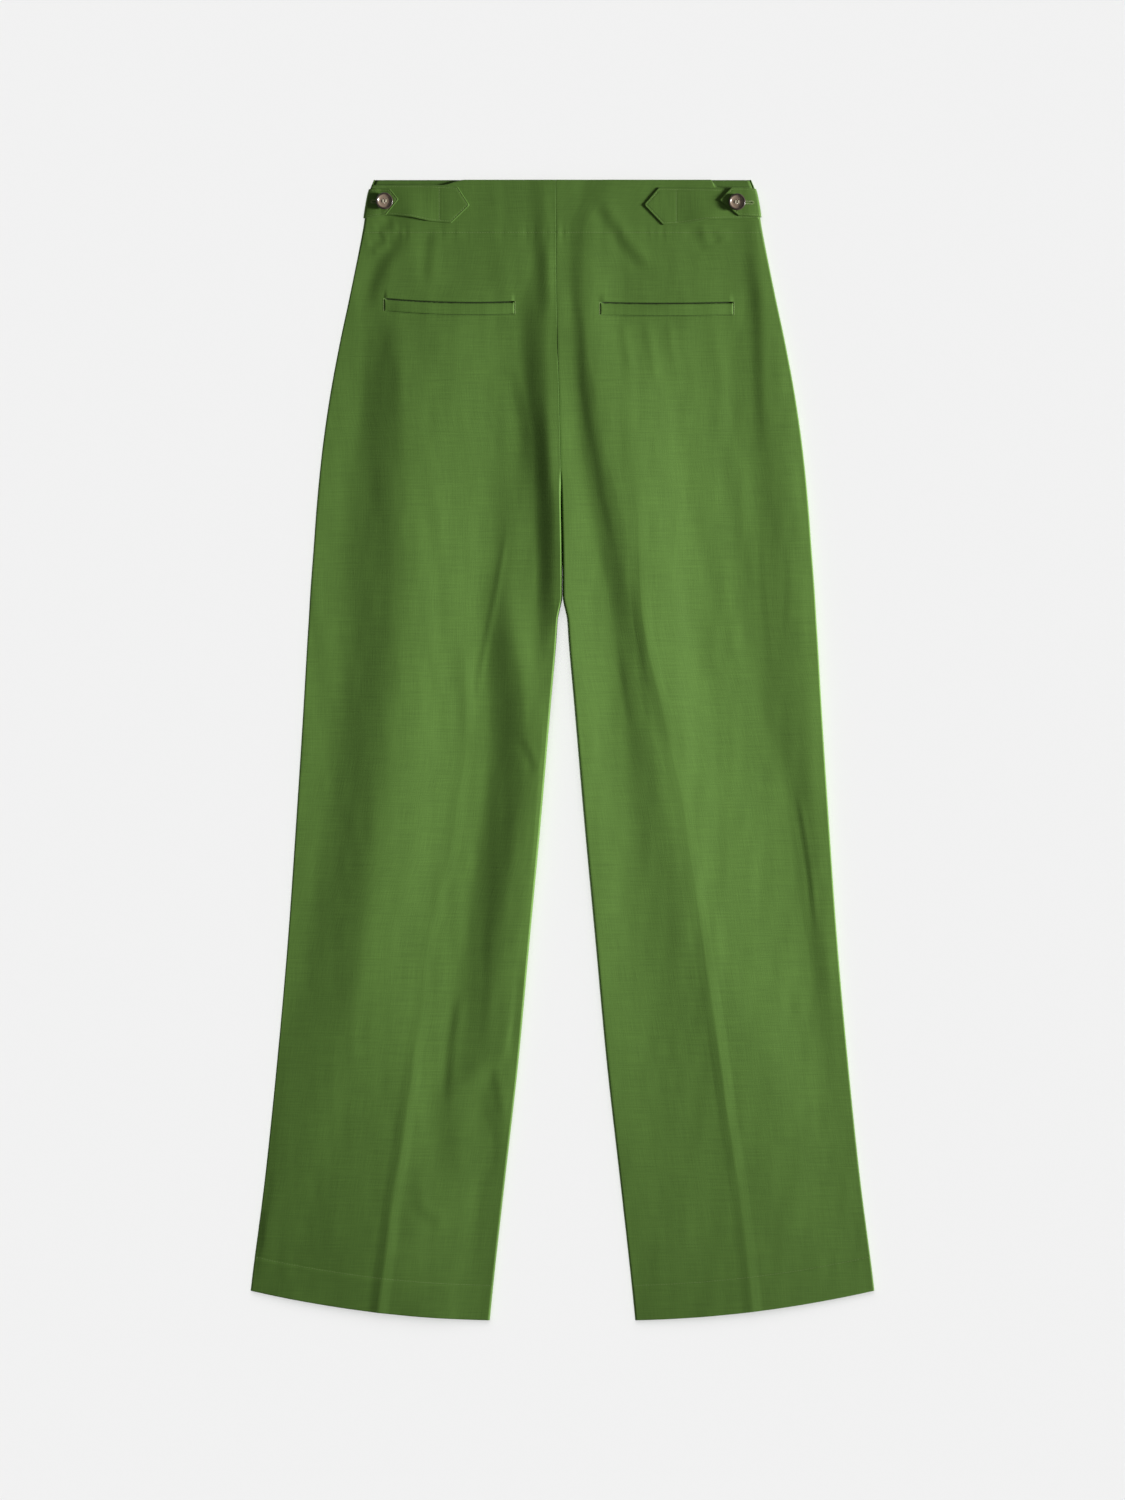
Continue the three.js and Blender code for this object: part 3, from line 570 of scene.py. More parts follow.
# Small folds: kind, height, half width, then points from the waist down. A bank climbs towards
# the wearer's right, and a ridge rises and falls.
SMALL_FOLDS = {
    "left": [
        ("bank", 0.0003, 0.0065, [(-0.019, 0.485), (-0.018, 0.441), (-0.018, 0.422), (-0.019, 0.404)]),
        (
            "bank", 0.0004, 0.0070,
            [(-0.148, 0.496), (-0.161, 0.472), (-0.171, 0.457), (-0.179, 0.436), (-0.183, 0.407)],
        ),
        (
            "bank", 0.0003, 0.0055,
            [(-0.121, 0.500), (-0.124, 0.483), (-0.126, 0.472), (-0.128, 0.448), (-0.129, 0.436)],
        ),
        ("bank", 0.0004, 0.0050, [(-0.158, 0.502), (-0.166, 0.494), (-0.176, 0.488)]),
        ("bank", 0.0004, 0.0045, [(-0.165, 0.484), (-0.174, 0.478), (-0.183, 0.474)]),
        (
            "ridge", 0.0003, 0.0035,
            [
                (-0.048, 0.227), (-0.0555, 0.189), (-0.062, 0.151), (-0.069, 0.118), (-0.076, 0.080),
                (-0.083, 0.035),
            ],
        ),
        ("bank", 0.0002, 0.0040, [(-0.042, 0.014), (-0.033, 0.0), (-0.027, -0.015), (-0.028, -0.027)]),
        (
            "bank", 0.0003, 0.0045,
            [(-0.095, -0.223), (-0.101, -0.247), (-0.105, -0.275), (-0.108, -0.313), (-0.109, -0.342)],
        ),
        (
            "bank", 0.0001, 0.0045,
            [(-0.069, -0.143), (-0.072, -0.190), (-0.071, -0.228), (-0.073, -0.256), (-0.076, -0.285)],
        ),
        ("bank", 0.0002, 0.0040, [(-0.067, -0.294), (-0.062, -0.323), (-0.059, -0.351)]),
        ("bank", 0.0003, 0.0060, [(-0.143, -0.430), (-0.126, -0.442), (-0.113, -0.454)]),
    ],
    "right": [
        (
            "bank", 0.0005, 0.0060,
            [
                (0.030, 0.529), (0.035, 0.515), (0.043, 0.503), (0.051, 0.491), (0.060, 0.477),
                (0.073, 0.464), (0.088, 0.448),
            ],
        ),
        (
            "bank", 0.0001, 0.0040,
            [
                (0.012, 0.489), (0.011, 0.456), (0.012, 0.426), (0.017, 0.403), (0.018, 0.352),
                (0.022, 0.322), (0.030, 0.284), (0.037, 0.240), (0.047, 0.199), (0.056, 0.156),
                (0.066, 0.128),
            ],
        ),
        (
            "bank", 0.0003, 0.0055,
            [
                (0.180, 0.491), (0.178, 0.468), (0.182, 0.436), (0.184, 0.398), (0.185, 0.350),
                (0.187, 0.312), (0.189, 0.265),
            ],
        ),
        ("bank", 0.0004, 0.0060, [(0.124, 0.499), (0.129, 0.491), (0.133, 0.482), (0.140, 0.475)]),
        ("bank", 0.0003, 0.0050, [(0.143, 0.493), (0.147, 0.486), (0.149, 0.478)]),
        ("ridge", 0.0003, 0.0045, [(0.056, 0.411), (0.060, 0.384), (0.067, 0.352)]),
        ("ridge", 0.0003, 0.0045, [(0.079, 0.411), (0.085, 0.374), (0.089, 0.343)]),
        ("ridge", 0.00025, 0.0045, [(0.100, 0.410), (0.104, 0.379), (0.108, 0.358)]),
        ("bank", -0.0002, 0.0070, [(0.151, 0.407), (0.155, 0.350), (0.153, 0.275)]),
        ("bank", 0.0001, 0.0035, [(0.052, 0.113), (0.056, 0.075), (0.066, 0.014)]),
        ("bank", 0.0001, 0.0040, [(0.072, 0.108), (0.078, 0.057), (0.081, 0.004)]),
        ("bank", 0.0002, 0.0025, [(0.219, -0.029), (0.229, -0.086), (0.235, -0.128), (0.240, -0.183)]),
        ("bank", 0.0001, 0.0030, [(0.187, 0.232), (0.189, 0.161), (0.195, 0.094), (0.199, 0.047)]),
        ("bank", 0.0001, 0.0030, [(0.212, 0.208), (0.213, 0.142), (0.210, 0.099)]),
    ],
}

# Pocket openings: distance of both ends from the centre line, the height of the opening there,
# its sag and the welt's depth, and where it gapes: distance from the centre line, how high and wide.
POCKETS = {
    "left": {
        "outer": 0.1686, "inner": 0.0458, "outer_y": 0.4268, "inner_y": 0.4240, "sag": 0.0022,
        "depth": 0.0108, "gape": (0.100, 0.0001, 0.020),
    },
    "right": {
        "outer": 0.1614, "inner": 0.0359, "outer_y": 0.4234, "inner_y": 0.4231, "sag": 0.0010,
        "depth": 0.0110, "gape": (0.102, 0.0007, 0.018),
    },
}

# Rows of the mesh from the waist down: from, to, how many.
BACK_ROWS = [
    (0.5400, 0.5385, 4),
    (0.5385, 0.4290, 76),
    (0.4290, 0.4200, 40),
    (0.4200, 0.4060, 14),
    (0.4060, 0.2680, 62),
    (0.2680, 0.1000, 72),
    (0.1000, -0.5000, 176),
    (-0.5000, -0.5385, 24),
    (-0.5385, -0.5400, 4),
]
ROLL_COLUMNS = 12

# Side, folds, mesh columns between them from the inner edge out, and where the waist edge dips.
LEGS = {
    "left": {
        "side": -1,
        "folds": FOLDS_LEFT,
        "crease": 5,
        "spans": [8, 12, 16, 24, 20, 38, 30, 16],
        "dip": (0.092, 0.116, 0.005),
    },
    "right": {
        "side": 1,
        "folds": FOLDS_RIGHT,
        "crease": 3,
        "spans": [24, 24, 16, 34, 30, 16, 20],
        "dip": (0.141, 0.144, 0.007),
    },
}


def smooth(t):
    t = np.clip(t, 0, 1)
    return t * t * (3 - 2 * t)


def curve_through(xs, ys, x):
    """Smooth curve through points with xs rising, never overshooting them, read at x."""
    xs, ys = np.asarray(xs, float), np.asarray(ys, float)
    widths = np.diff(xs)
    slopes = np.diff(ys) / widths
    tangents = np.empty_like(ys)
    tangents[0], tangents[-1] = slopes[0], slopes[-1]
    before, after = slopes[:-1], slopes[1:]
    a, b = 2 * widths[1:] + widths[:-1], widths[1:] + 2 * widths[:-1]
    turning = before * after > 0
    safe_before, safe_after = np.where(turning, before, 1), np.where(turning, after, 1)
    tangents[1:-1] = np.where(turning, (a + b) / (a / safe_before + b / safe_after), 0)
    i = np.clip(np.searchsorted(xs, x, side="right") - 1, 0, len(xs) - 2)
    t = np.clip((x - xs[i]) / widths[i], 0, 1)
    return (
        ys[i] * (1 + 2 * t) * (1 - t) ** 2
        + tangents[i] * widths[i] * t * (1 - t) ** 2
        + ys[i + 1] * t**2 * (3 - 2 * t)
        - tangents[i + 1] * widths[i] * t**2 * (1 - t)
    )


def down_table(rows, values, y):
    """A column of a table that runs from the waist down, read at heights y."""
    return curve_through([-row[0] for row in rows], values, -np.asarray(y, float))


def tilt_at(y):
    """How far a section has turned to the hem's slope."""
    return smooth((HEM_TILT_FROM - np.asarray(y)) / (HEM_TILT_FROM - HEM_Y))


def outer_edge(y):
    return down_table(OUTLINE, [row[1] for row in OUTLINE], y + HEM_RISE * tilt_at(y))


def inner_edge(y):
    return down_table(OUTLINE, [row[2] for row in OUTLINE], y)


def centre_back(y):
    return down_table(CENTRE_BACK, [row[1] for row in CENTRE_BACK], y)


def section_y(y, x):
    """Real height of a point on section y, at distance x from the centre line."""
    t = np.clip((x - inner_edge(y)) / (outer_edge(y) - inner_edge(y)), 0, 1)
    return y + tilt_at(y) * (HEM_RISE * t - 4 * HEM_SAG * t * (1 - t))


def rows_between(bands):
    """Heights of mesh rows from (from, to, how many) bands."""
    rows = [bands[0][0]]
    for start, end, count in bands:
        rows.extend(start + (end - start) * (i + 1) / count for i in range(count))
    return np.array(rows)


def small_fold(kind, height, width, points, x, y):
    """Relief of one small fold at points x, y. It fades out at both ends."""
    path = np.array(points)
    lengths = np.hypot(*np.diff(path, axis=0).T)
    reached = np.concatenate([[0], np.cumsum(lengths)]) / lengths.sum()
    best = np.full(x.shape, 1e9)
    side = np.zeros(x.shape)
    place = np.zeros(x.shape)
    for i in range(len(lengths)):
        run = path[i + 1] - path[i]
        t = np.clip(((x - path[i, 0]) * run[0] + (y - path[i, 1]) * run[1]) / lengths[i] ** 2, 0, 1)
        off_x, off_y = x - path[i, 0] - t * run[0], y - path[i, 1] - t * run[1]
        distance = np.hypot(off_x, off_y)
        nearer = distance < best
        best = np.where(nearer, distance, best)
        side = np.where(nearer, np.sign(run[0] * off_y - run[1] * off_x), side)
        place = np.where(nearer, reached[i] + t * (reached[i + 1] - reached[i]), place)
    fade = smooth(np.minimum(place, 1 - place) / 0.3)
    d = best / width
    if kind == "ridge":
        return height * fade * np.exp(-d * d)
    return height * fade * side * d * np.exp(0.5 - d * d / 2)


def patchy(x, y, cell_x, cell_y, seed):
    """Smooth random relief from -1 to 1, with cells of the given size."""
    lattice = np.random.default_rng(seed).uniform(-1, 1, (64, 64))
    u, v = x / cell_x + 32, y / cell_y + 32
    i, j = np.floor(u).astype(int), np.floor(v).astype(int)
    s, t = smooth(u - i), smooth(v - j)
    pick = lambda a, b: lattice[(i + a) % 64, (j + b) % 64]
    return (pick(0, 0) * (1 - s) + pick(1, 0) * s) * (1 - t) + (pick(0, 1) * (1 - s) + pick(1, 1) * s) * t


def opening_at(pocket, out):
    """Height of a pocket opening, at distances from the centre line."""
    t = (out - pocket["inner"]) / (pocket["outer"] - pocket["inner"])
    return pocket["inner_y"] + (pocket["outer_y"] - pocket["inner_y"]) * t - 4 * pocket["sag"] * t * (1 - t)


def cloth_relief(name, x, y):
    """Everything on a back panel that is finer than its main folds. x is signed."""
    relief = np.zeros(x.shape)
    for fold in SMALL_FOLDS[name]:
        relief += small_fold(*fold, x, y)
    relief += 0.00017 * patchy(x + 0.16 * np.abs(y), y, 0.016, 0.11, 11)
    relief += 0.00009 * patchy(x, y, 0.009, 0.035, 12)
    pucker = patchy(x, y, 0.0038, 0.5, 13)
    relief += 0.00016 * pucker * np.exp(-np.abs(y - WAIST_STITCH_Y) / 0.006)

    # The cloth above a pocket stands up to its opening, and the opening is a narrow slit.
    pocket = POCKETS[name]
    within = smooth((np.abs(x) - pocket["inner"]) / 0.002) * smooth((pocket["outer"] - np.abs(x)) / 0.002)
    above = y - opening_at(pocket, np.abs(x))
    lifted = 0.0007 * smooth(1 - above / 0.012) * (above > 0)
    pressed = 0.0004 * smooth(1 + above / 0.004) * (above <= 0)
    slit = 0.0022 * np.exp(-(((above - 0.0004) / 0.0007) ** 4))
    seam = 0.0003 * np.exp(-(((above + pocket["depth"]) / 0.0010) ** 2))
    relief += within * (lifted - pressed - slit - seam)
    return relief


def hollow_at(name, x, y):
    """Painted shade in a pocket's opening and in the seam under its welt, from 0 to 1: how much the colour is
    darkened there.
    """
    pocket = POCKETS[name]
    out = np.abs(x)
    within = smooth((out - pocket["inner"]) / 0.001) * smooth((pocket["outer"] - out) / 0.001)
    above = y - opening_at(pocket, out)
    mouth = 0.85 * np.exp(-(((above - 0.0003) / 0.0008) ** 4))
    seam = 0.45 * np.exp(-(((above + pocket["depth"] + 0.0002) / 0.0005) ** 2))
    return within * np.maximum(mouth, seam)


def edge_drop(distance, depth=0.0006, radius=0.0014):
    """How far a folded edge has rounded down, at a distance from it."""
    t = np.clip(1 - distance / radius, 0, 1)
    return depth * (1 - np.sqrt(1 - t * t))


def offset_section(x, z, wall, start_angle, end_angle):
    """Section lines moved sideways by the wall. At both ends the direction is given, so that the
    wall ends square to the seam."""
    angle = np.arctan2(np.gradient(z, axis=1), np.gradient(x, axis=1))
    angle[:, 0] = start_angle
    angle[:, -1] = end_angle
    return x + wall * np.sin(angle), z - wall * np.cos(angle)


def wall_mesh(near, far, every):
    """Vertices and faces of a closed wall. far is the grid behind near, with one point in every few."""
    rows, cols = near.shape[:2]
    far_rows, far_cols = far.shape[:2]
    verts = np.concatenate([near.reshape(-1, 3), far.reshape(-1, 3)])

    def n(r, c):
        return r * cols + c

    def f(r, c):
        return rows * cols + r * far_cols + c

    faces = [
        (n(r, c), n(r, c + 1), n(r + 1, c + 1), n(r + 1, c))
        for r in range(rows - 1)
        for c in range(cols - 1)
    ]
    faces += [
        (f(r, c), f(r + 1, c), f(r + 1, c + 1), f(r, c + 1))
        for r in range(far_rows - 1)
        for c in range(far_cols - 1)
    ]
    for c in range(far_cols - 1):
        first, last = c * every, (c + 1) * every
        faces.append((*(n(0, i) for i in range(last, first - 1, -1)), f(0, c), f(0, c + 1)))
        bottom = (n(rows - 1, i) for i in range(first, last + 1))
        faces.append((*bottom, f(far_rows - 1, c + 1), f(far_rows - 1, c)))
    for r in range(far_rows - 1):
        first, last = r * every, (r + 1) * every
        faces.append((*(n(i, 0) for i in range(first, last + 1)), f(r + 1, 0), f(r, 0)))
        outer = (n(i, cols - 1) for i in range(last, first - 1, -1))
        faces.append((*outer, f(r, far_cols - 1), f(r + 1, far_cols - 1)))

    middle = near[rows // 2, cols // 2]
    across = near[rows // 2, cols // 2 + 1] - middle
    down = near[rows // 2 + 1, cols // 2] - middle
    behind = far[far_rows // 2, far_cols // 2] - near[(far_rows // 2) * every, (far_cols // 2) * every]
    if np.dot(np.cross(across, down), behind) > 0:
        faces = [face[::-1] for face in faces]
    return verts, faces


def leg_grain(name, grid, layer):
    """The warp of a leg panel runs along its crease."""
    leg = LEGS[name]
    crease = down_table(leg["folds"], [row[leg["crease"]][0] for row in leg["folds"]], grid[..., 1])
    u = grid[..., 0] - leg["side"] * crease
    return np.stack([u, grid[..., 1], np.full(u.shape, layer)], axis=-1).reshape(-1, 3)


def back_grids(name):
    """Upper and lower side of a back panel, rows from the waist down and columns outwards."""
    leg = LEGS[name]
    side, folds = leg["side"], leg["folds"]
    v = rows_between(BACK_ROWS)
    seam_z = SEAM_Z + SEAM_GAP / 2
    radius = SIDE_ROLL + (EDGE_Z - seam_z - SIDE_ROLL) * smooth((v - 0.450) / 0.040)

    knot_x = [inner_edge(v) + side * centre_back(v) + CENTRE_GAP / 2 + INNER_ROLL]
    knot_z = [down_table(folds, [row[-2] for row in folds], v)]
    for k in range(1, len(leg["spans"])):
        knot_x.append(down_table(folds, [row[k][0] for row in folds], v))
        knot_z.append(down_table(folds, [row[k][1] for row in folds], v))
    knot_x.append(outer_edge(v) - radius)
    knot_z.append(down_table(folds, [row[-1] for row in folds], v))
    knot_x, knot_z = np.array(knot_x).T, np.array(knot_z).T

    steps = np.concatenate([k + np.arange(n) / n for k, n in enumerate(leg["spans"])] + [[len(leg["spans"])]])
    flat_x = np.array([np.interp(steps, np.arange(knot_x.shape[1]), row) for row in knot_x])
    flat_z = np.array([curve_through(kx, kz, x) for kx, kz, x in zip(knot_x, knot_z, flat_x)])
    crease = leg["crease"]
    from_crease = np.abs(flat_x - knot_x[:, crease:crease + 1])
    lift = down_table(CREASE_LIFT[name], [row[1] for row in CREASE_LIFT[name]], v)[:, None]
    flat_z = flat_z + lift * np.clip(1 - from_crease / CREASE_WIDTH, 0, 1)

    groove = smooth((GROOVE_START - v) / (GROOVE_START - GROOVE_END))[:, None]
    turn = np.maximum(groove, 0.02) * math.pi / 2
    angle = turn * np.arange(ROLL_COLUMNS, 0, -1) / ROLL_COLUMNS
    roll_in_x = knot_x[:, :1] - INNER_ROLL * np.sin(angle) / np.sin(turn)
    roll_in_z = knot_z[:, :1] - groove * (knot_z[:, :1] - seam_z) * (1 - np.cos(angle)) / (1 - np.cos(turn))
    angle = math.pi / 2 * np.arange(1, ROLL_COLUMNS + 1) / ROLL_COLUMNS
    roll_out_x = knot_x[:, -1:] + radius[:, None] * np.sin(angle)
    roll_out_z = seam_z + (knot_z[:, -1:] - seam_z) * np.cos(angle)
    x = np.hstack([roll_in_x, flat_x, roll_out_x])
    z = np.hstack([roll_in_z, flat_z, roll_out_z])

    y = section_y(v[:, None], x)
    start, end, depth = leg["dip"]
    squeeze = np.clip((v[:, None] - 0.520) / (WAIST_Y - 0.520), 0, 1)
    y = y - depth * smooth((x - start) / (end - start)) * squeeze

    # Rolled edges keep their shape, so the finer relief fades out on them.
    hold = np.ones(x.shape)
    fade = np.arange(ROLL_COLUMNS, 0, -1) / ROLL_COLUMNS
    hold[:, :ROLL_COLUMNS] = 1 - groove * fade
    hold[:, -ROLL_COLUMNS:] = 1 - fade[::-1]
    from_hem = v[:, None] - HEM_Y
    relief = cloth_relief(name, side * x, y)
    relief += 0.0004 * smooth((HEM_DEPTH + 0.001 - from_hem) / 0.002)
    relief -= 0.0003 * np.exp(-(((from_hem - HEM_DEPTH) / 0.0012) ** 2))
    relief += 0.0003 * smooth((v[:, None] - WAIST_STITCH_Y + 0.001) / 0.002)
    relief -= 0.0003 * np.exp(-(((v[:, None] - WAIST_STITCH_Y) / 0.0012) ** 2))
    z = z + hold * relief

    turned = np.broadcast_to(turn[:, 0], v.shape)
    far_x, far_z = offset_section(x, z, CLOTH, turned, -math.pi / 2)
    from_centre = x - x[:, :1]
    z = z - edge_drop(from_hem) - edge_drop(WAIST_Y - v[:, None])
    z = z - (1 - groove) * edge_drop(from_centre, 0.0002, 0.0006)
    near = np.stack([side * x, y, z], axis=-1)
    far = np.stack([side * far_x, y, far_z], axis=-1)[::4, ::4]
    return v, near, far


BACK = {}
for name, leg in LEGS.items():
    v, near, far = back_grids(name)
    verts, faces = wall_mesh(near, far, 4)
    grain = np.concatenate([leg_grain(name, near, 0.0), leg_grain(name, far, 0.5)])
    # Painted shade on the upper side only: the pocket mouth and the seam under the welt are darkened in
    # colour.
    hollow = np.zeros(len(verts))
    hollow[: near[..., 0].size] = hollow_at(name, near[..., 0], near[..., 1]).ravel()
    panel = finished_piece(f"back_{name}", verts, faces, green_linen, grain, hollow)
    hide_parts(f"back_leg_{name}")
    BACK[name] = {"rows": v, "near": near, "piece": panel}


def height_on(name, out, v):
    """Height of a back panel's upper side, at distances out from the centre line on sections v."""
    grid, side = BACK[name]["near"], LEGS[name]["side"]
    out, v = np.broadcast_arrays(np.asarray(out, float), np.asarray(v, float))
    place = np.interp(-v.ravel(), -BACK[name]["rows"], np.arange(len(grid)))
    heights = []
    for distance, row in zip(out.ravel(), place):
        upper = min(int(row), len(grid) - 2)
        part = row - upper
        ends = [np.interp(distance, side * grid[r, :, 0], grid[r, :, 2]) for r in (upper, upper + 1)]
        heights.append(ends[0] * (1 - part) + ends[1] * part)
    return np.array(heights).reshape(out.shape)


def on_back(name, out, v, above=0.0):
    """Points on a back panel, lifted off it."""
    out, v, above = np.broadcast_arrays(
        np.asarray(out, float), np.asarray(v, float), np.asarray(above, float),
    )
    return np.stack([LEGS[name]["side"] * out, section_y(v, out), height_on(name, out, v) + above], axis=-1)


def round_edge(name, v, turn, above):
    """Points round the rolled side edge. turn is 0 at the top of the roll and 90 at the seam."""
    seam_z = SEAM_Z + SEAM_GAP / 2
    radius = EDGE_Z - seam_z
    v, turn, above = np.broadcast_arrays(np.asarray(v, float), np.radians(turn), np.asarray(above, float))
    x = outer_edge(v) - radius + (radius + above) * np.sin(turn)
    return np.stack([LEGS[name]["side"] * x, v, seam_z + (radius + above) * np.cos(turn)], axis=-1)


# ---- Front panels ----
# The two fronts lie flat on the table under the backs, right side down. They meet at the centre
# front seam, and their edges roll up to the side seams and inseams.

FRONT_ROWS = [
    (0.540, 0.480, 24), (0.480, 0.200, 56), (0.200, 0.120, 32), (0.120, -0.500, 124), (-0.500, -0.540, 20),
]
FRONT_ROLL_COLUMNS = 8
FRONT_COLUMNS = 72


def front_grids(name):
    """Underside and inside of a front panel, rows from the waist down and columns outwards."""
    side = LEGS[name]["side"]
    v = rows_between(FRONT_ROWS)[:, None]
    radius = SEAM_Z - SEAM_GAP / 2
    rise = smooth((FORK_START - v) / (FORK_START - CROTCH_Y))
    turn = np.maximum(rise, 0.02) * math.pi / 2
    inner = inner_edge(v) + SEAM_GAP / 2
    outer = outer_edge(v)
    angle = turn * np.arange(FRONT_ROLL_COLUMNS, 0, -1) / FRONT_ROLL_COLUMNS
    roll_in_x = inner + radius * (1 - np.sin(angle) / np.sin(turn))
    roll_in_z = rise * radius * (1 - np.cos(angle)) / (1 - np.cos(turn))
    t = np.arange(FRONT_COLUMNS) / FRONT_COLUMNS
    flat_x = inner + radius + (outer - inner - 2 * radius) * t
    angle = math.pi / 2 * np.arange(FRONT_ROLL_COLUMNS + 1) / FRONT_ROLL_COLUMNS
    roll_out_x = outer - radius + radius * np.sin(angle)
    roll_out_z = radius * (1 - np.cos(angle)) + 0 * v
    x = np.hstack([roll_in_x, flat_x, roll_out_x])
    z = np.hstack([roll_in_z, 0 * flat_x, roll_out_z])
    y = section_y(v, x)
    far_x, far_z = offset_section(x, z, -CLOTH, -turn[:, 0], math.pi / 2)
    z = z + edge_drop(v - HEM_Y) + edge_drop(WAIST_Y - v) + (1 - rise) * edge_drop(x - inner)
    near = np.stack([side * x, y, z], axis=-1)
    far = np.stack([side * far_x, y, far_z], axis=-1)[::2, ::2]
    return near, far


FRONT = {}
for name in LEGS:
    near, far = front_grids(name)
    verts, faces = wall_mesh(near, far, 2)
    grain = np.concatenate([leg_grain(name, near, 1.0), leg_grain(name, far, 1.5)])
    panel = finished_piece(f"front_{name}", verts, faces, green_linen, grain)
    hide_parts(f"front_leg_{name}")
    FRONT[name] = {"near": near, "piece": panel}

# ---- Waist facings of the fronts ----
# A strip of the same linen, turned to the inside of each front's waist. A narrow strip of it
# shows where the back's waist edge has slipped below the front's. Its greens are the linen's
# made darker: painted shade for the shade that strip lies in.

FACING = 0.0010
FACING_DEPTH = 0.050
# Painted shade: the linen's greens, darkened, for the facing seen in shade under the back's waist edge.
FACING_SHADED_DEEP = (0.060, 0.124, 0.020, 1)
FACING_SHADED_PALE = (0.092, 0.184, 0.032, 1)
shaded_facing_linen = linen("green linen facing in painted shade", FACING_SHADED_DEEP, FACING_SHADED_PALE)

for name, leg in LEGS.items():
    bottom = CLOTH + SEAM_GAP
    y = np.linspace(WAIST_Y, WAIST_Y - FACING_DEPTH, 25)[:, None]
    outer = outer_edge(y) - 0.0019
    x = SEAM_GAP / 2 + (outer - SEAM_GAP / 2) * np.linspace(0, 1, 61)
    y = y + 0 * x
    ripple = 0.00012 * patchy(x, y, 0.012, 0.03, 21)
    rounding = edge_drop(WAIST_Y - y, 0.0005, 0.0009) + edge_drop(y - WAIST_Y + FACING_DEPTH, 0.0004, 0.0009)
    near = np.stack([leg["side"] * x, y, bottom + FACING - rounding - np.abs(ripple)], axis=-1)
    far = np.stack([leg["side"] * x, y, bottom + 0 * x], axis=-1)[::4, ::4]
    verts, faces = wall_mesh(near, far, 4)
    grain = np.concatenate([near.reshape(-1, 3), far.reshape(-1, 3)]) * (1, 1, 0) + (0, 0, 2)
    facing = finished_piece(f"facing_{name}", verts, faces, shaded_facing_linen, grain)
    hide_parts(f"front_facing_{name}")
    FRONT[name]["facing"] = facing

# ---- Pocket welts ----
# A single welt on each hip: a folded strip of the linen, sewn down along its lower edge and
# pressed thin at its ends. Its upper edge is the pocket opening. The right one gapes a little.

WELT_ROWS = 17
WELT_COLUMNS = 129


def patch(name, x, y, top, bottom, layer):
    """Closed strip lying on a back panel, from grids of points and the heights of both sides over
    the panel. Its threads run with its own length."""
    near = on_back(name, x, y, top)
    far = on_back(name, x, y, bottom)
    verts, faces = wall_mesh(near, far, 1)
    grain = np.stack([x, y, np.full(x.shape, layer)], axis=-1).reshape(-1, 3)
    return near, verts, faces, np.concatenate([grain, grain + (0, 0, 0.5)])


for name, pocket in POCKETS.items():
    along = np.linspace(0, 1, WELT_COLUMNS)
    across = (1 - np.cos(np.linspace(0, math.pi, WELT_ROWS))) / 2
    t, w = np.meshgrid(along, across)
    x = pocket["inner"] + (pocket["outer"] - pocket["inner"]) * t
    y = opening_at(pocket, x) - pocket["depth"] * (1 - w)
    place, height, reach = pocket["gape"]
    gape = height * np.exp(-(((x - place) / reach) ** 2)) * w**2
    ends = np.minimum(x - pocket["inner"], pocket["outer"] - x)
    body = smooth(ends / 0.022)
    sewn = edge_drop(pocket["depth"] * w, 0.0006, 0.0010) + edge_drop(ends, 0.0003, 0.0008)
    sewn = sewn + edge_drop(pocket["depth"] * (1 - w), 0.0003, 0.0005)
    top = 0.00015 + 0.0003 + 0.0007 * body + gape - np.minimum(sewn, 0.0002 + 0.0006 * body)
    near, verts, faces, grain = patch(name, x, y, top, 0.00015 + 0.5 * gape, 3.0)
    piece = finished_piece(f"welt_{name}", verts, faces, green_linen, grain)
    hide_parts(f"pocket_welt_{name}")
    BACK[name]["welt"] = piece

# ---- Waist adjuster straps ----
# A pointed strap on each side of the back's waist, two layers of linen turned and edge-stitched.
# It is sewn down across its inner end, stands a little off the cloth, and runs under the tab.

DOUBLED = 0.0011
STRAP_GAP = 0.00015
EDGE_STITCH = 0.0018
STRAP_STEPS = 132
STRAP_COLUMNS = 37

# Lines across the strap from its point to the side: the upper end and the lower end, as distance
# from the centre line and height, and how far the lower edge stands off.
STRAPS = {
    "left": [
        (0.0883, 0.5164, 0.0883, 0.5152, 0.0002),
        (0.0992, 0.5334, 0.1052, 0.4987, 0.0),
        (0.1166, 0.5344, 0.1166, 0.4996, 0.0),
        (0.1280, 0.5348, 0.1270, 0.5008, 0.0008),
        (0.1430, 0.5350, 0.1430, 0.5042, 0.0016),
        (0.1580, 0.5350, 0.1580, 0.5060, 0.0010),
        (0.1720, 0.5346, 0.1740, 0.5064, 0.0),
    ],
    "right": [
        (0.0775, 0.5168, 0.0775, 0.5156, 0.0002),
        (0.0910, 0.5325, 0.0951, 0.4970, 0.0),
        (0.1078, 0.5323, 0.1078, 0.4976, 0.0),
        (0.1200, 0.5320, 0.1200, 0.4990, 0.0006),
        (0.1360, 0.5318, 0.1360, 0.5016, 0.0014),
        (0.1520, 0.5317, 0.1520, 0.5026, 0.0008),
        (0.1700, 0.5316, 0.1730, 0.5028, 0.0),
    ],
}
STRAP_CROSS_STITCH = {"left": 0.1166, "right": 0.1078}


def from_outline(x, y, points):
    """Distance of grid points from an outline."""
    best = np.full(x.shape, 1e9)
    for (ax, ay), (bx, by) in zip(points, points[1:]):
        length = (bx - ax) ** 2 + (by - ay) ** 2
        t = np.clip(((x - ax) * (bx - ax) + (y - ay) * (by - ay)) / length, 0, 1)
        best = np.minimum(best, np.hypot(x - ax - t * (bx - ax), y - ay - t * (by - ay)))
    return best


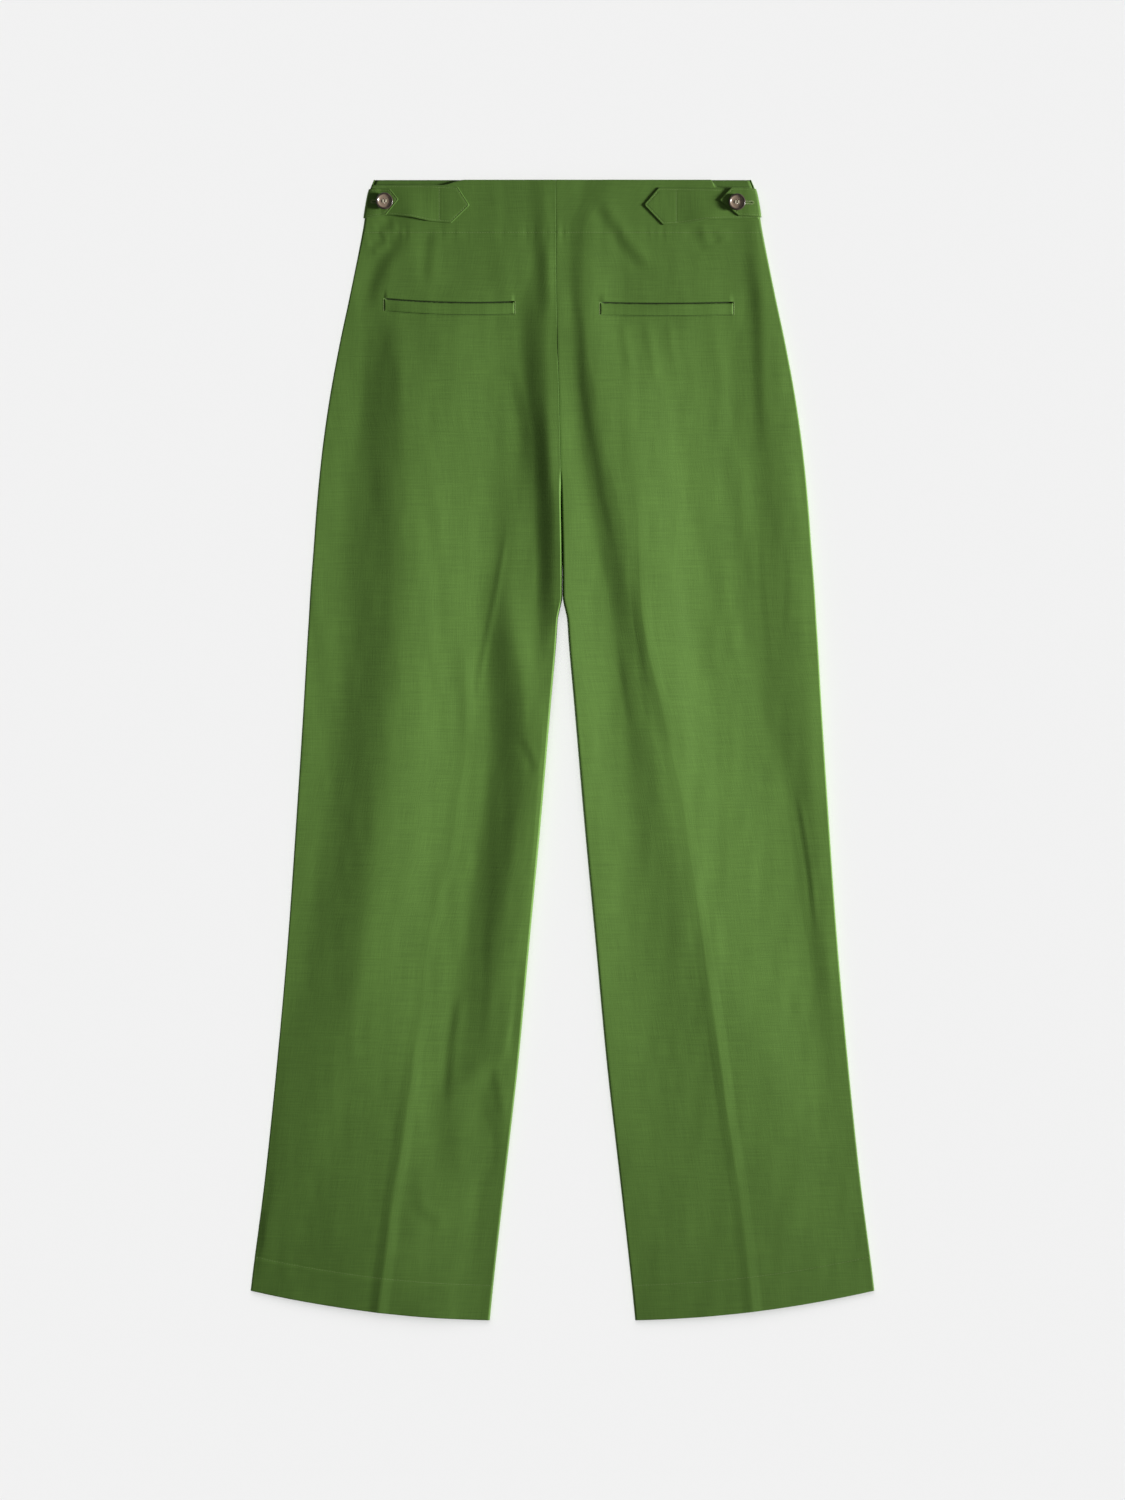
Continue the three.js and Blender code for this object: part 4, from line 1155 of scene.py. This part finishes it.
def pointed_outline(rows, run_on):
    """Outline of a pointed strip from its lines across, round its point. It runs on at the side."""
    upper = [(row[0], row[1]) for row in rows]
    lower = [(row[2], row[3]) for row in rows]
    upper.append((upper[-1][0] + run_on, upper[-1][1]))
    lower.append((lower[-1][0] + run_on, lower[-1][1]))
    return upper[::-1] + lower


def pointed_grid(rows, steps, columns):
    """Grid over a pointed strip: columns from the upper edge to the lower, closer at the edges."""
    table = np.array([row[:4] for row in rows])
    middle = (table[:, :2] + table[:, 2:]) / 2
    reached = np.concatenate([[0], np.cumsum(np.hypot(*np.diff(middle, axis=0).T))])
    place = reached[-1] * np.linspace(0, 1, steps)
    ends = [np.interp(place, reached, table[:, k])[:, None] for k in range(4)]
    t = ((1 - np.cos(np.linspace(0, math.pi, columns))) / 2)[None, :]
    return ends[0] + (ends[2] - ends[0]) * t, ends[1] + (ends[3] - ends[1]) * t, t + 0 * ends[0]


def stitched_edge(distance, inset=EDGE_STITCH):
    """How far an edge-stitched strip is pressed in: its edge is round, and the stitches sink."""
    return edge_drop(distance, 0.0006, 0.0008) + 0.0002 * np.exp(-(((distance - inset) / 0.0006) ** 2))


def inset_line(near, distance, inset):
    """Line on a pointed strip at a given distance from its outline, round its point."""
    middle = near.shape[1] // 2
    upper, lower = [], []
    for points, away in zip(near, distance):
        if away[: middle + 1].max() <= inset or away[middle:].max() <= inset:
            continue
        upper.append([np.interp(inset, away[: middle + 1], points[: middle + 1, k]) for k in range(3)])
        lower.append([np.interp(inset, away[:middle - 1:-1], points[:middle - 1:-1, k]) for k in range(3)])
    return np.array(upper[::-1] + lower)


strap_stitches = {}
for name, rows in STRAPS.items():
    side = LEGS[name]["side"]
    x, y, t = pointed_grid(rows, STRAP_STEPS, STRAP_COLUMNS)
    lift = curve_through([row[0] for row in rows], [row[4] for row in rows], x) * t
    away = from_outline(x, y, pointed_outline(rows, 0.02))
    cross = np.abs(x - STRAP_CROSS_STITCH[name])
    pressed = stitched_edge(away) + 0.00012 * np.exp(-((cross / 0.0007) ** 2)) * (away > EDGE_STITCH)
    near = on_back(name, x, y, STRAP_GAP + DOUBLED + lift - pressed)
    far = on_back(name, x, y, STRAP_GAP + lift)
    end_y = rows[-1][1] + (rows[-1][3] - rows[-1][1]) * t[-1]
    away_end = from_outline(x[-1], end_y, pointed_outline(rows, 0.02))
    near_end = round_edge(name, end_y, 12, STRAP_GAP + DOUBLED - stitched_edge(away_end))
    far_end = round_edge(name, end_y, 12, STRAP_GAP)
    between = np.linspace(0, 1, 9)[1:, None, None]
    near = np.concatenate([near, near[-1:] + (near_end - near[-1:]) * between])
    far = np.concatenate([far, far[-1:] + (far_end - far[-1:]) * between])
    away = np.concatenate([away, np.repeat(away_end[None], 8, axis=0)])
    verts, faces = wall_mesh(near, far, 1)
    grain = np.stack([near[..., 1], side * near[..., 0], np.full(away.shape, 4.0)], axis=-1).reshape(-1, 3)
    piece = finished_piece(
        f"strap_{name}", verts, faces, green_linen, np.concatenate([grain, grain + (0, 0, 0.5)]),
    )
    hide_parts(f"adjuster_strap_{name}")
    BACK[name]["strap"] = piece
    crossing = np.argmin(np.abs(side * near[:, STRAP_COLUMNS // 2, 0] - STRAP_CROSS_STITCH[name]))
    inside = away[crossing] > EDGE_STITCH
    strap_stitches[name] = [inset_line(near, away, EDGE_STITCH), near[crossing][inside]]

# ---- Waist adjuster tabs ----
# A pointed tab from each side seam, turned and edge-stitched like the straps. It lies over the
# strap's end, and its buttonhole runs from the button to near the side.

TAB_STEPS = 72
TAB_COLUMNS = 41
TAB_BASE = 2 * SEAM_GAP + DOUBLED
HOLE_WIDTH = 0.0009

# Lines across the tab as on the straps, then the upper and lower height of its end at the side seam,
# and the buttonhole: its outer end's distance from the centre line, and its height.
TABS = {
    "left": [
        (0.1555, 0.5216, 0.1555, 0.5204), (0.1634, 0.5312, 0.1670, 0.5064),
        (0.1760, 0.5314, 0.1770, 0.5046),
    ],
    "right": [
        (0.1490, 0.5209, 0.1490, 0.5197), (0.1600, 0.5325, 0.1666, 0.5056),
        (0.1740, 0.5324, 0.1760, 0.5052),
    ],
}
TAB_ENDS = {"left": (0.5310, 0.5036), "right": (0.5313, 0.5046)}
BUTTONHOLES = {"left": (0.1660, 0.1800, 0.5188), "right": (0.1640, 0.1795, 0.5180)}
TAB_TURNS = [8, 20, 30, 40, 50, 60, 68, 76, 84]


def strap_lift(name, x):
    rows = STRAPS[name]
    return curve_through([row[0] for row in rows], [row[4] for row in rows], x)


tab_stitches, hole_stitches = {}, {}
for name, rows in TABS.items():
    side = LEGS[name]["side"]
    x, y, t = pointed_grid(rows, TAB_STEPS, TAB_COLUMNS)
    away = from_outline(x, y, pointed_outline(rows, 0.02))
    start, end, hole_y = BUTTONHOLES[name]
    slit = from_outline(x, y, [(start, hole_y), (end, hole_y)])
    pressed = stitched_edge(away) + 0.0007 * np.exp(-((slit / HOLE_WIDTH) ** 2))
    lift = strap_lift(name, x)
    near = on_back(name, x, y, TAB_BASE + DOUBLED + lift - pressed)
    far = on_back(name, x, y, TAB_BASE + lift)
    near_rows, far_rows, away_rows = [near], [far], [away]
    first, last = TAB_ENDS[name]
    end_y = first + (last - first) * t[-1]
    away_end = np.minimum(first - end_y, end_y - last)
    for turn in TAB_TURNS:
        settle = (TAB_BASE - SEAM_GAP) * smooth((turn - 20) / 50)
        top = TAB_BASE + DOUBLED - settle - stitched_edge(away_end)
        near_rows.append(round_edge(name, end_y, turn, top)[None])
        far_rows.append(round_edge(name, end_y, turn, TAB_BASE - settle)[None])
        away_rows.append(away_end[None])
    near, far, away = (np.concatenate(part) for part in (near_rows, far_rows, away_rows))
    verts, faces = wall_mesh(near, far, 1)
    grain = np.stack([near[..., 1], side * near[..., 0], np.full(away.shape, 5.0)], axis=-1).reshape(-1, 3)
    piece = finished_piece(
        f"tab_{name}", verts, faces, green_linen, np.concatenate([grain, grain + (0, 0, 0.5)]),
    )
    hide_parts(f"adjuster_tab_{name}")
    BACK[name]["tab"] = piece
    tab_stitches[name] = [inset_line(near, away, EDGE_STITCH)]
    angle = np.linspace(math.pi / 2, -math.pi / 2, 15)
    ring = 0.0012
    hole_x = np.concatenate([
        np.linspace(start, end, 20), end + ring * np.cos(angle), np.linspace(end, start, 20),
    ])
    hole_line_y = np.concatenate([
        np.full(20, hole_y + ring), hole_y + ring * np.sin(angle), np.full(20, hole_y - ring),
    ])
    rim = TAB_BASE + DOUBLED + strap_lift(name, hole_x)
    hole_stitches[name] = [on_back(name, hole_x, hole_line_y, rim)]

# ---- Stitching ----
# Pale green thread, in straight stitches that sink into the cloth: along the waist facing, the
# hems, and the edges of the straps and tabs. Close stitches across a line make the bar tacks at
# the pockets' ends and the edges of the buttonholes.

THREAD_GREEN = (0.19, 0.28, 0.085, 1)
thread_green = bpy.data.materials.new("pale green thread")
thread_green.use_nodes = True
thread_shader = thread_green.node_tree.nodes["Principled BSDF"]
thread_shader.inputs["Base Color"].default_value = THREAD_GREEN
thread_shader.inputs["Roughness"].default_value = 0.6
thread_shader.inputs["Sheen Weight"].default_value = 0.1


def stitch_tree():
    """Geometry nodes that lay stitches along lines. Turn is the angle of a stitch to its line."""
    tree = bpy.data.node_groups.new("stitches", "GeometryNodeTree")
    tree.interface.new_socket("Lines", in_out="INPUT", socket_type="NodeSocketGeometry")
    for label in ("Pitch", "Length", "Width", "Turn"):
        tree.interface.new_socket(label, in_out="INPUT", socket_type="NodeSocketFloat")
    tree.interface.new_socket("Seed", in_out="INPUT", socket_type="NodeSocketInt")
    tree.interface.new_socket("Thread", in_out="INPUT", socket_type="NodeSocketMaterial")
    tree.interface.new_socket("Stitches", in_out="OUTPUT", socket_type="NodeSocketGeometry")
    w = Wiring(tree)
    given = w.node("NodeGroupInput").outputs

    curve = w.node("GeometryNodeMeshToCurve")
    w.feed(curve.inputs["Mesh"], given["Lines"])
    spaced = w.node("GeometryNodeResampleCurve", mode="LENGTH")
    w.feed(spaced.inputs["Curve"], curve.outputs["Curve"])
    w.feed(spaced.inputs["Length"], given["Pitch"])

    along = w.node("FunctionNodeAlignRotationToVector", axis="X")
    w.feed(along.inputs["Vector"], w.node("GeometryNodeInputTangent").outputs["Tangent"])
    upright = w.node("FunctionNodeAlignRotationToVector", axis="Z", pivot_axis="X")
    w.feed(upright.inputs["Rotation"], along.outputs["Rotation"])
    upright.inputs["Vector"].default_value = (0, 0, 1)

    sway = w.node("FunctionNodeRandomValue", data_type="FLOAT")
    low, high = [s for s in sway.inputs if s.type == "VALUE"][:2]
    low.default_value, high.default_value = -0.07, 0.07
    w.feed(sway.inputs["Seed"], given["Seed"])
    sway_out = next(s for s in sway.outputs if s.type == "VALUE")
    turned = w.node("FunctionNodeAxisAngleToRotation")
    turned.inputs["Axis"].default_value = (0, 0, 1)
    w.feed(turned.inputs["Angle"], w.math("ADD", given["Turn"], sway_out))
    rotated = w.node("FunctionNodeRotateRotation", rotation_space="LOCAL")
    w.feed(rotated.inputs["Rotation"], upright.outputs["Rotation"])
    w.feed(rotated.inputs["Rotate By"], turned.outputs["Rotation"])

    uneven = w.node("FunctionNodeRandomValue", data_type="FLOAT")
    low, high = [s for s in uneven.inputs if s.type == "VALUE"][:2]
    low.default_value, high.default_value = 0.85, 1.1
    w.feed(uneven.inputs["Seed"], w.math("ADD", given["Seed"], 7.0))
    uneven_out = next(s for s in uneven.outputs if s.type == "VALUE")
    size = w.node("ShaderNodeCombineXYZ")
    w.feed(size.inputs["X"], w.math("MULTIPLY", given["Length"], uneven_out))
    w.feed(size.inputs["Y"], given["Width"])
    w.feed(size.inputs["Z"], given["Width"])

    bead = w.node("GeometryNodeMeshIcoSphere")
    bead.inputs["Radius"].default_value = 0.5
    bead.inputs["Subdivisions"].default_value = 2
    round_bead = w.node("GeometryNodeSetShadeSmooth")
    w.feed(round_bead.inputs["Geometry"], bead.outputs["Mesh"])
    laid = w.node("GeometryNodeInstanceOnPoints")
    w.feed(laid.inputs["Points"], spaced.outputs["Curve"])
    w.feed(laid.inputs["Instance"], round_bead.outputs["Geometry"])
    w.feed(laid.inputs["Rotation"], rotated.outputs["Rotation"])
    w.feed(laid.inputs["Scale"], size.outputs["Vector"])
    real = w.node("GeometryNodeRealizeInstances")
    w.feed(real.inputs["Geometry"], laid.outputs["Instances"])
    coloured = w.node("GeometryNodeSetMaterial")
    w.feed(coloured.inputs["Geometry"], real.outputs["Geometry"])
    w.feed(coloured.inputs["Material"], given["Thread"])
    w.feed(w.node("NodeGroupOutput").inputs["Stitches"], coloured.outputs["Geometry"])
    return tree


stitches_group = stitch_tree()


def stitches(name, lines, thread, pitch, length, width, turn=0.0, seed=1):
    """A piece of stitches along lines of points."""
    verts = [tuple(map(float, point)) for line in lines for point in line]
    edges, first = [], 0
    for line in lines:
        edges += [(first + i, first + i + 1) for i in range(len(line) - 1)]
        first += len(line)
    mesh = bpy.data.meshes.new(name + "_lines")
    mesh.from_pydata(verts, edges, [])
    piece = bpy.data.objects.new(name, mesh)
    bpy.context.scene.collection.objects.link(piece)
    modifier = piece.modifiers.new("stitches", "NODES")
    modifier.node_group = stitches_group
    sockets = {s.name: s.identifier for s in stitches_group.interface.items_tree if s.in_out == "INPUT"}
    values = {"Pitch": pitch, "Length": length, "Width": width, "Turn": turn, "Seed": seed, "Thread": thread}
    for label, value in values.items():
        modifier[sockets[label]] = value
    bpy.context.view_layer.update()
    evaluated = piece.evaluated_get(bpy.context.evaluated_depsgraph_get())
    piece.data = bpy.data.meshes.new_from_object(evaluated)
    piece.modifiers.clear()
    bpy.data.meshes.remove(mesh)
    lit_by_key.objects.link(piece)
    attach(piece, "root")
    return piece


def across_leg(name, v, start, end, above, count=160):
    """Line across a back panel on section v, from one edge to the other."""
    inner = inner_edge(v) + LEGS[name]["side"] * centre_back(v)
    out = np.linspace(inner + start, outer_edge(v) - end, count)
    return on_back(name, out, np.full(count, v), above)


SINK = 0.00005
# Stitches: pitch, length and width.
SEAM_STITCH = (0.0024, 0.0016, 0.00036)
EDGE_SEWING = (0.0024, 0.0016, 0.00034)
TACK_STITCH = (0.00042, 0.0009, 0.00032)
HOLE_STITCH = (0.00045, 0.0019, 0.0004)
for seed, (name, leg) in enumerate(LEGS.items()):
    pocket = POCKETS[name]
    waist_line = across_leg(name, WAIST_STITCH_Y, 0.002, 0.0025, SINK)
    hem_line = across_leg(name, HEM_Y + HEM_DEPTH, 0.004, 0.0025, SINK)
    waist_seam = stitches(f"waist_stitches_{name}", [waist_line], thread_green, *SEAM_STITCH, seed=seed)
    hem_seam = stitches(f"hem_stitches_{name}", [hem_line], thread_green, *SEAM_STITCH, seed=seed + 10)

    tacks = []
    for out, height in (
        (pocket["inner"] - 0.0009, pocket["inner_y"]), (pocket["outer"] + 0.0009, pocket["outer_y"]),
    ):
        down = np.linspace(height + 0.0006, height - pocket["depth"] - 0.0002, 24)
        tacks.append(on_back(name, np.full(24, out), down, SINK))
    tack_piece = stitches(
        f"pocket_tacks_{name}", tacks, thread_green, *TACK_STITCH, math.pi / 2, seed + 20,
    )

    strap_piece = stitches(
        f"strap_stitches_{name}", strap_stitches[name], thread_green, *EDGE_SEWING, seed=seed + 30,
    )
    tab_piece = stitches(
        f"tab_stitches_{name}", tab_stitches[name], thread_green, *EDGE_SEWING, seed=seed + 40,
    )
    hole_piece = stitches(
        f"buttonhole_{name}", hole_stitches[name], thread_green, *HOLE_STITCH, math.pi / 2, seed + 50,
    )

# ---- Buttons ----
# Polished horn with a raised rim, a dished middle and four holes. Each is sewn through the
# buttonhole with pale thread in two bars.

BUTTON_TILTS = {"left": 5.0, "right": 1.5}
BUTTON_SEGMENTS = 64
HOLE_RADIUS = 0.0008
HOLE_RING = 0.00185
BAR_STRANDS = 4
STRAND_RADIUS = 0.00021
STRAND_PITCH = 0.00032
# Half section of the button: distance from the middle, height.
BUTTON_PROFILE = [
    (0.0, 0.0),
    (0.0040, 0.0),
    (0.0056, 0.00015),
    (0.0069, 0.0006),
    (0.0077, 0.0012),
    (0.0080, 0.0018),
    (0.00795, 0.0023),
    (0.0076, 0.0027),
    (0.0071, 0.00285),
    (0.0065, 0.0027),
    (0.0060, 0.0023),
    (0.0054, 0.0018),
    (0.0046, 0.0016),
    (0.0030, 0.0015),
    (0.0, 0.0015),
]


def horn_finish():
    """Brown-grey horn: fine streaks, a pale middle and a dark polished rim."""
    tree = bpy.data.node_groups.new("horn streaks", "ShaderNodeTree")
    tree.interface.new_socket("Place", in_out="INPUT", socket_type="NodeSocketVector")
    tree.interface.new_socket("Colour", in_out="OUTPUT", socket_type="NodeSocketColor")
    w = Wiring(tree)
    place = w.node("NodeGroupInput").outputs["Place"]
    streaks = w.stretched_noise(place, (420, 60, 200), 3.0)
    split = w.node("ShaderNodeSeparateXYZ")
    w.feed(split.inputs[0], place)
    flat = w.math(
        "SQRT",
        w.math("ADD", w.math("POWER", split.outputs["X"], 2.0), w.math("POWER", split.outputs["Y"], 2.0)),
    )
    pale = w.remap(flat, 0.0056, 0.0066, 1.0, 0.0)
    mixed = w.remap(w.math("ADD", w.math("MULTIPLY", streaks, 0.5), w.math("MULTIPLY", pale, 0.6)), 0.2, 1.0)
    ramp = w.node("ShaderNodeValToRGB")
    ramp.color_ramp.elements[0].color = (0.030, 0.020, 0.016, 1)
    ramp.color_ramp.elements[1].color = (0.30, 0.22, 0.16, 1)
    w.feed(ramp.inputs["Fac"], mixed)
    w.feed(w.node("NodeGroupOutput").inputs["Colour"], ramp.outputs["Color"])
    return tree


horn = bpy.data.materials.new("polished horn")
horn.use_nodes = True
horn_wiring = Wiring(horn.node_tree)
horn_shader = horn.node_tree.nodes["Principled BSDF"]
horn_streaks = horn_wiring.node("ShaderNodeGroup", node_tree=horn_finish())
horn_place = horn_wiring.node("ShaderNodeAttribute", attribute_name="grain")
horn_wiring.feed(horn_streaks.inputs["Place"], horn_place.outputs["Vector"])
horn_wiring.feed(horn_shader.inputs["Base Color"], horn_streaks.outputs["Colour"])
horn_shader.inputs["Roughness"].default_value = 0.28
horn_shader.inputs["Coat Weight"].default_value = 0.35
horn_shader.inputs["Coat Roughness"].default_value = 0.12

thread_cream = bpy.data.materials.new("cream thread")
thread_cream.use_nodes = True
cream_shader = thread_cream.node_tree.nodes["Principled BSDF"]
cream_shader.inputs["Base Color"].default_value = (0.62, 0.57, 0.42, 1)
cream_shader.inputs["Roughness"].default_value = 0.6


def button_mesh():
    """Turned body with four holes cut through it."""
    verts, faces = [], []
    ring = np.linspace(0, 2 * math.pi, BUTTON_SEGMENTS, endpoint=False)
    for radius, height in BUTTON_PROFILE[1:-1]:
        verts += [(radius * math.cos(a), radius * math.sin(a), height) for a in ring]
    rings = len(BUTTON_PROFILE) - 2
    for r in range(rings - 1):
        for c in range(BUTTON_SEGMENTS):
            d = (c + 1) % BUTTON_SEGMENTS
            low_ring, high_ring = r * BUTTON_SEGMENTS, (r + 1) * BUTTON_SEGMENTS
            faces.append((low_ring + c, low_ring + d, high_ring + d, high_ring + c))
    faces.append(tuple(range(BUTTON_SEGMENTS - 1, -1, -1)))
    faces.append(tuple((rings - 1) * BUTTON_SEGMENTS + c for c in range(BUTTON_SEGMENTS)))
    mesh = bpy.data.meshes.new("button body")
    mesh.from_pydata(verts, [], faces)
    body = bpy.data.objects.new("button body", mesh)
    bpy.context.scene.collection.objects.link(body)
    drills = []
    for k in range(4):
        turn = math.pi / 4 + k * math.pi / 2
        place = (HOLE_RING * math.cos(turn), HOLE_RING * math.sin(turn), 0.001)
        bpy.ops.mesh.primitive_cylinder_add(radius=HOLE_RADIUS, depth=0.01, vertices=20, location=place)
        drill = bpy.context.active_object
        cut = body.modifiers.new("hole", "BOOLEAN")
        cut.operation = "DIFFERENCE"
        cut.solver = "EXACT"
        cut.object = drill
        drills.append(drill)
    bpy.context.view_layer.update()
    drilled = bpy.data.meshes.new_from_object(body.evaluated_get(bpy.context.evaluated_depsgraph_get()))
    for spent in (body, *drills):
        bpy.data.objects.remove(spent)
    points = [tuple(vert.co) for vert in drilled.vertices]
    return points, [tuple(face.vertices) for face in drilled.polygons]


def tube(points, radius, sides=8):
    """Closed round tube along points."""
    points = np.asarray(points, float)
    run = np.gradient(points, axis=0)
    run /= np.linalg.norm(run, axis=1, keepdims=True)
    across = np.cross(run, (0.3, 0.2, 1.0))
    across /= np.linalg.norm(across, axis=1, keepdims=True)
    rise = np.cross(across, run)
    angle = np.linspace(0, 2 * math.pi, sides, endpoint=False)
    rings = points[:, None] + radius * (
        across[:, None] * np.cos(angle)[None, :, None] + rise[:, None] * np.sin(angle)[None, :, None]
    )
    verts = rings.reshape(-1, 3)
    faces = []
    for r in range(len(points) - 1):
        for c in range(sides):
            d = (c + 1) % sides
            faces.append((r * sides + c, (r + 1) * sides + c, (r + 1) * sides + d, r * sides + d))
    faces.append(tuple(range(sides)))
    faces.append(tuple((len(points) - 1) * sides + c for c in range(sides - 1, -1, -1)))
    return verts, faces


button_points, button_faces = button_mesh()
for name, tilt in BUTTON_TILTS.items():
    low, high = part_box(f"button_{name}")
    lean = -LEGS[name]["side"] * math.radians(tilt)
    turned = np.array([[math.cos(lean), 0, math.sin(lean)], [0, 1, 0], [-math.sin(lean), 0, math.cos(lean)]])
    local = np.array(button_points)
    placed = local @ turned.T
    centre = np.array([(low[0] + high[0]) / 2, (low[1] + high[1]) / 2, low[2]])
    middle = (placed.min(axis=0) + placed.max(axis=0)) / 2
    shift = centre - (middle[0], middle[1], placed[:, 2].min())
    button = finished_piece(f"horn_button_{name}", placed + shift, button_faces, horn, local)
    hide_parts(f"button_{name}")

    verts, faces = [], []
    for bar in (-1, 1):
        for strand in range(BAR_STRANDS):
            offset = (strand - (BAR_STRANDS - 1) / 2) * STRAND_PITCH
            x = bar * HOLE_RING / math.sqrt(2) + offset
            reach = HOLE_RING / math.sqrt(2) + HOLE_RADIUS * 0.35
            t = np.linspace(-1, 1, 13)
            bow = 0.0001 * np.cos(t * math.pi / 2)
            dive = 0.0011 * np.abs(t) ** 8
            height = 0.00178 + bow - dive + 0.00004 * (strand % 2)
            line = np.stack([x + 0 * t, reach * t, height], axis=-1)
            part_verts, part_faces = tube(line @ turned.T + shift, STRAND_RADIUS)
            first = sum(len(part) for part in verts)
            verts.append(part_verts)
            faces += [tuple(first + i for i in face) for face in part_faces]
    thread = finished_piece(f"button_thread_{name}", np.concatenate(verts), faces, thread_cream)

low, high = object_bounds()
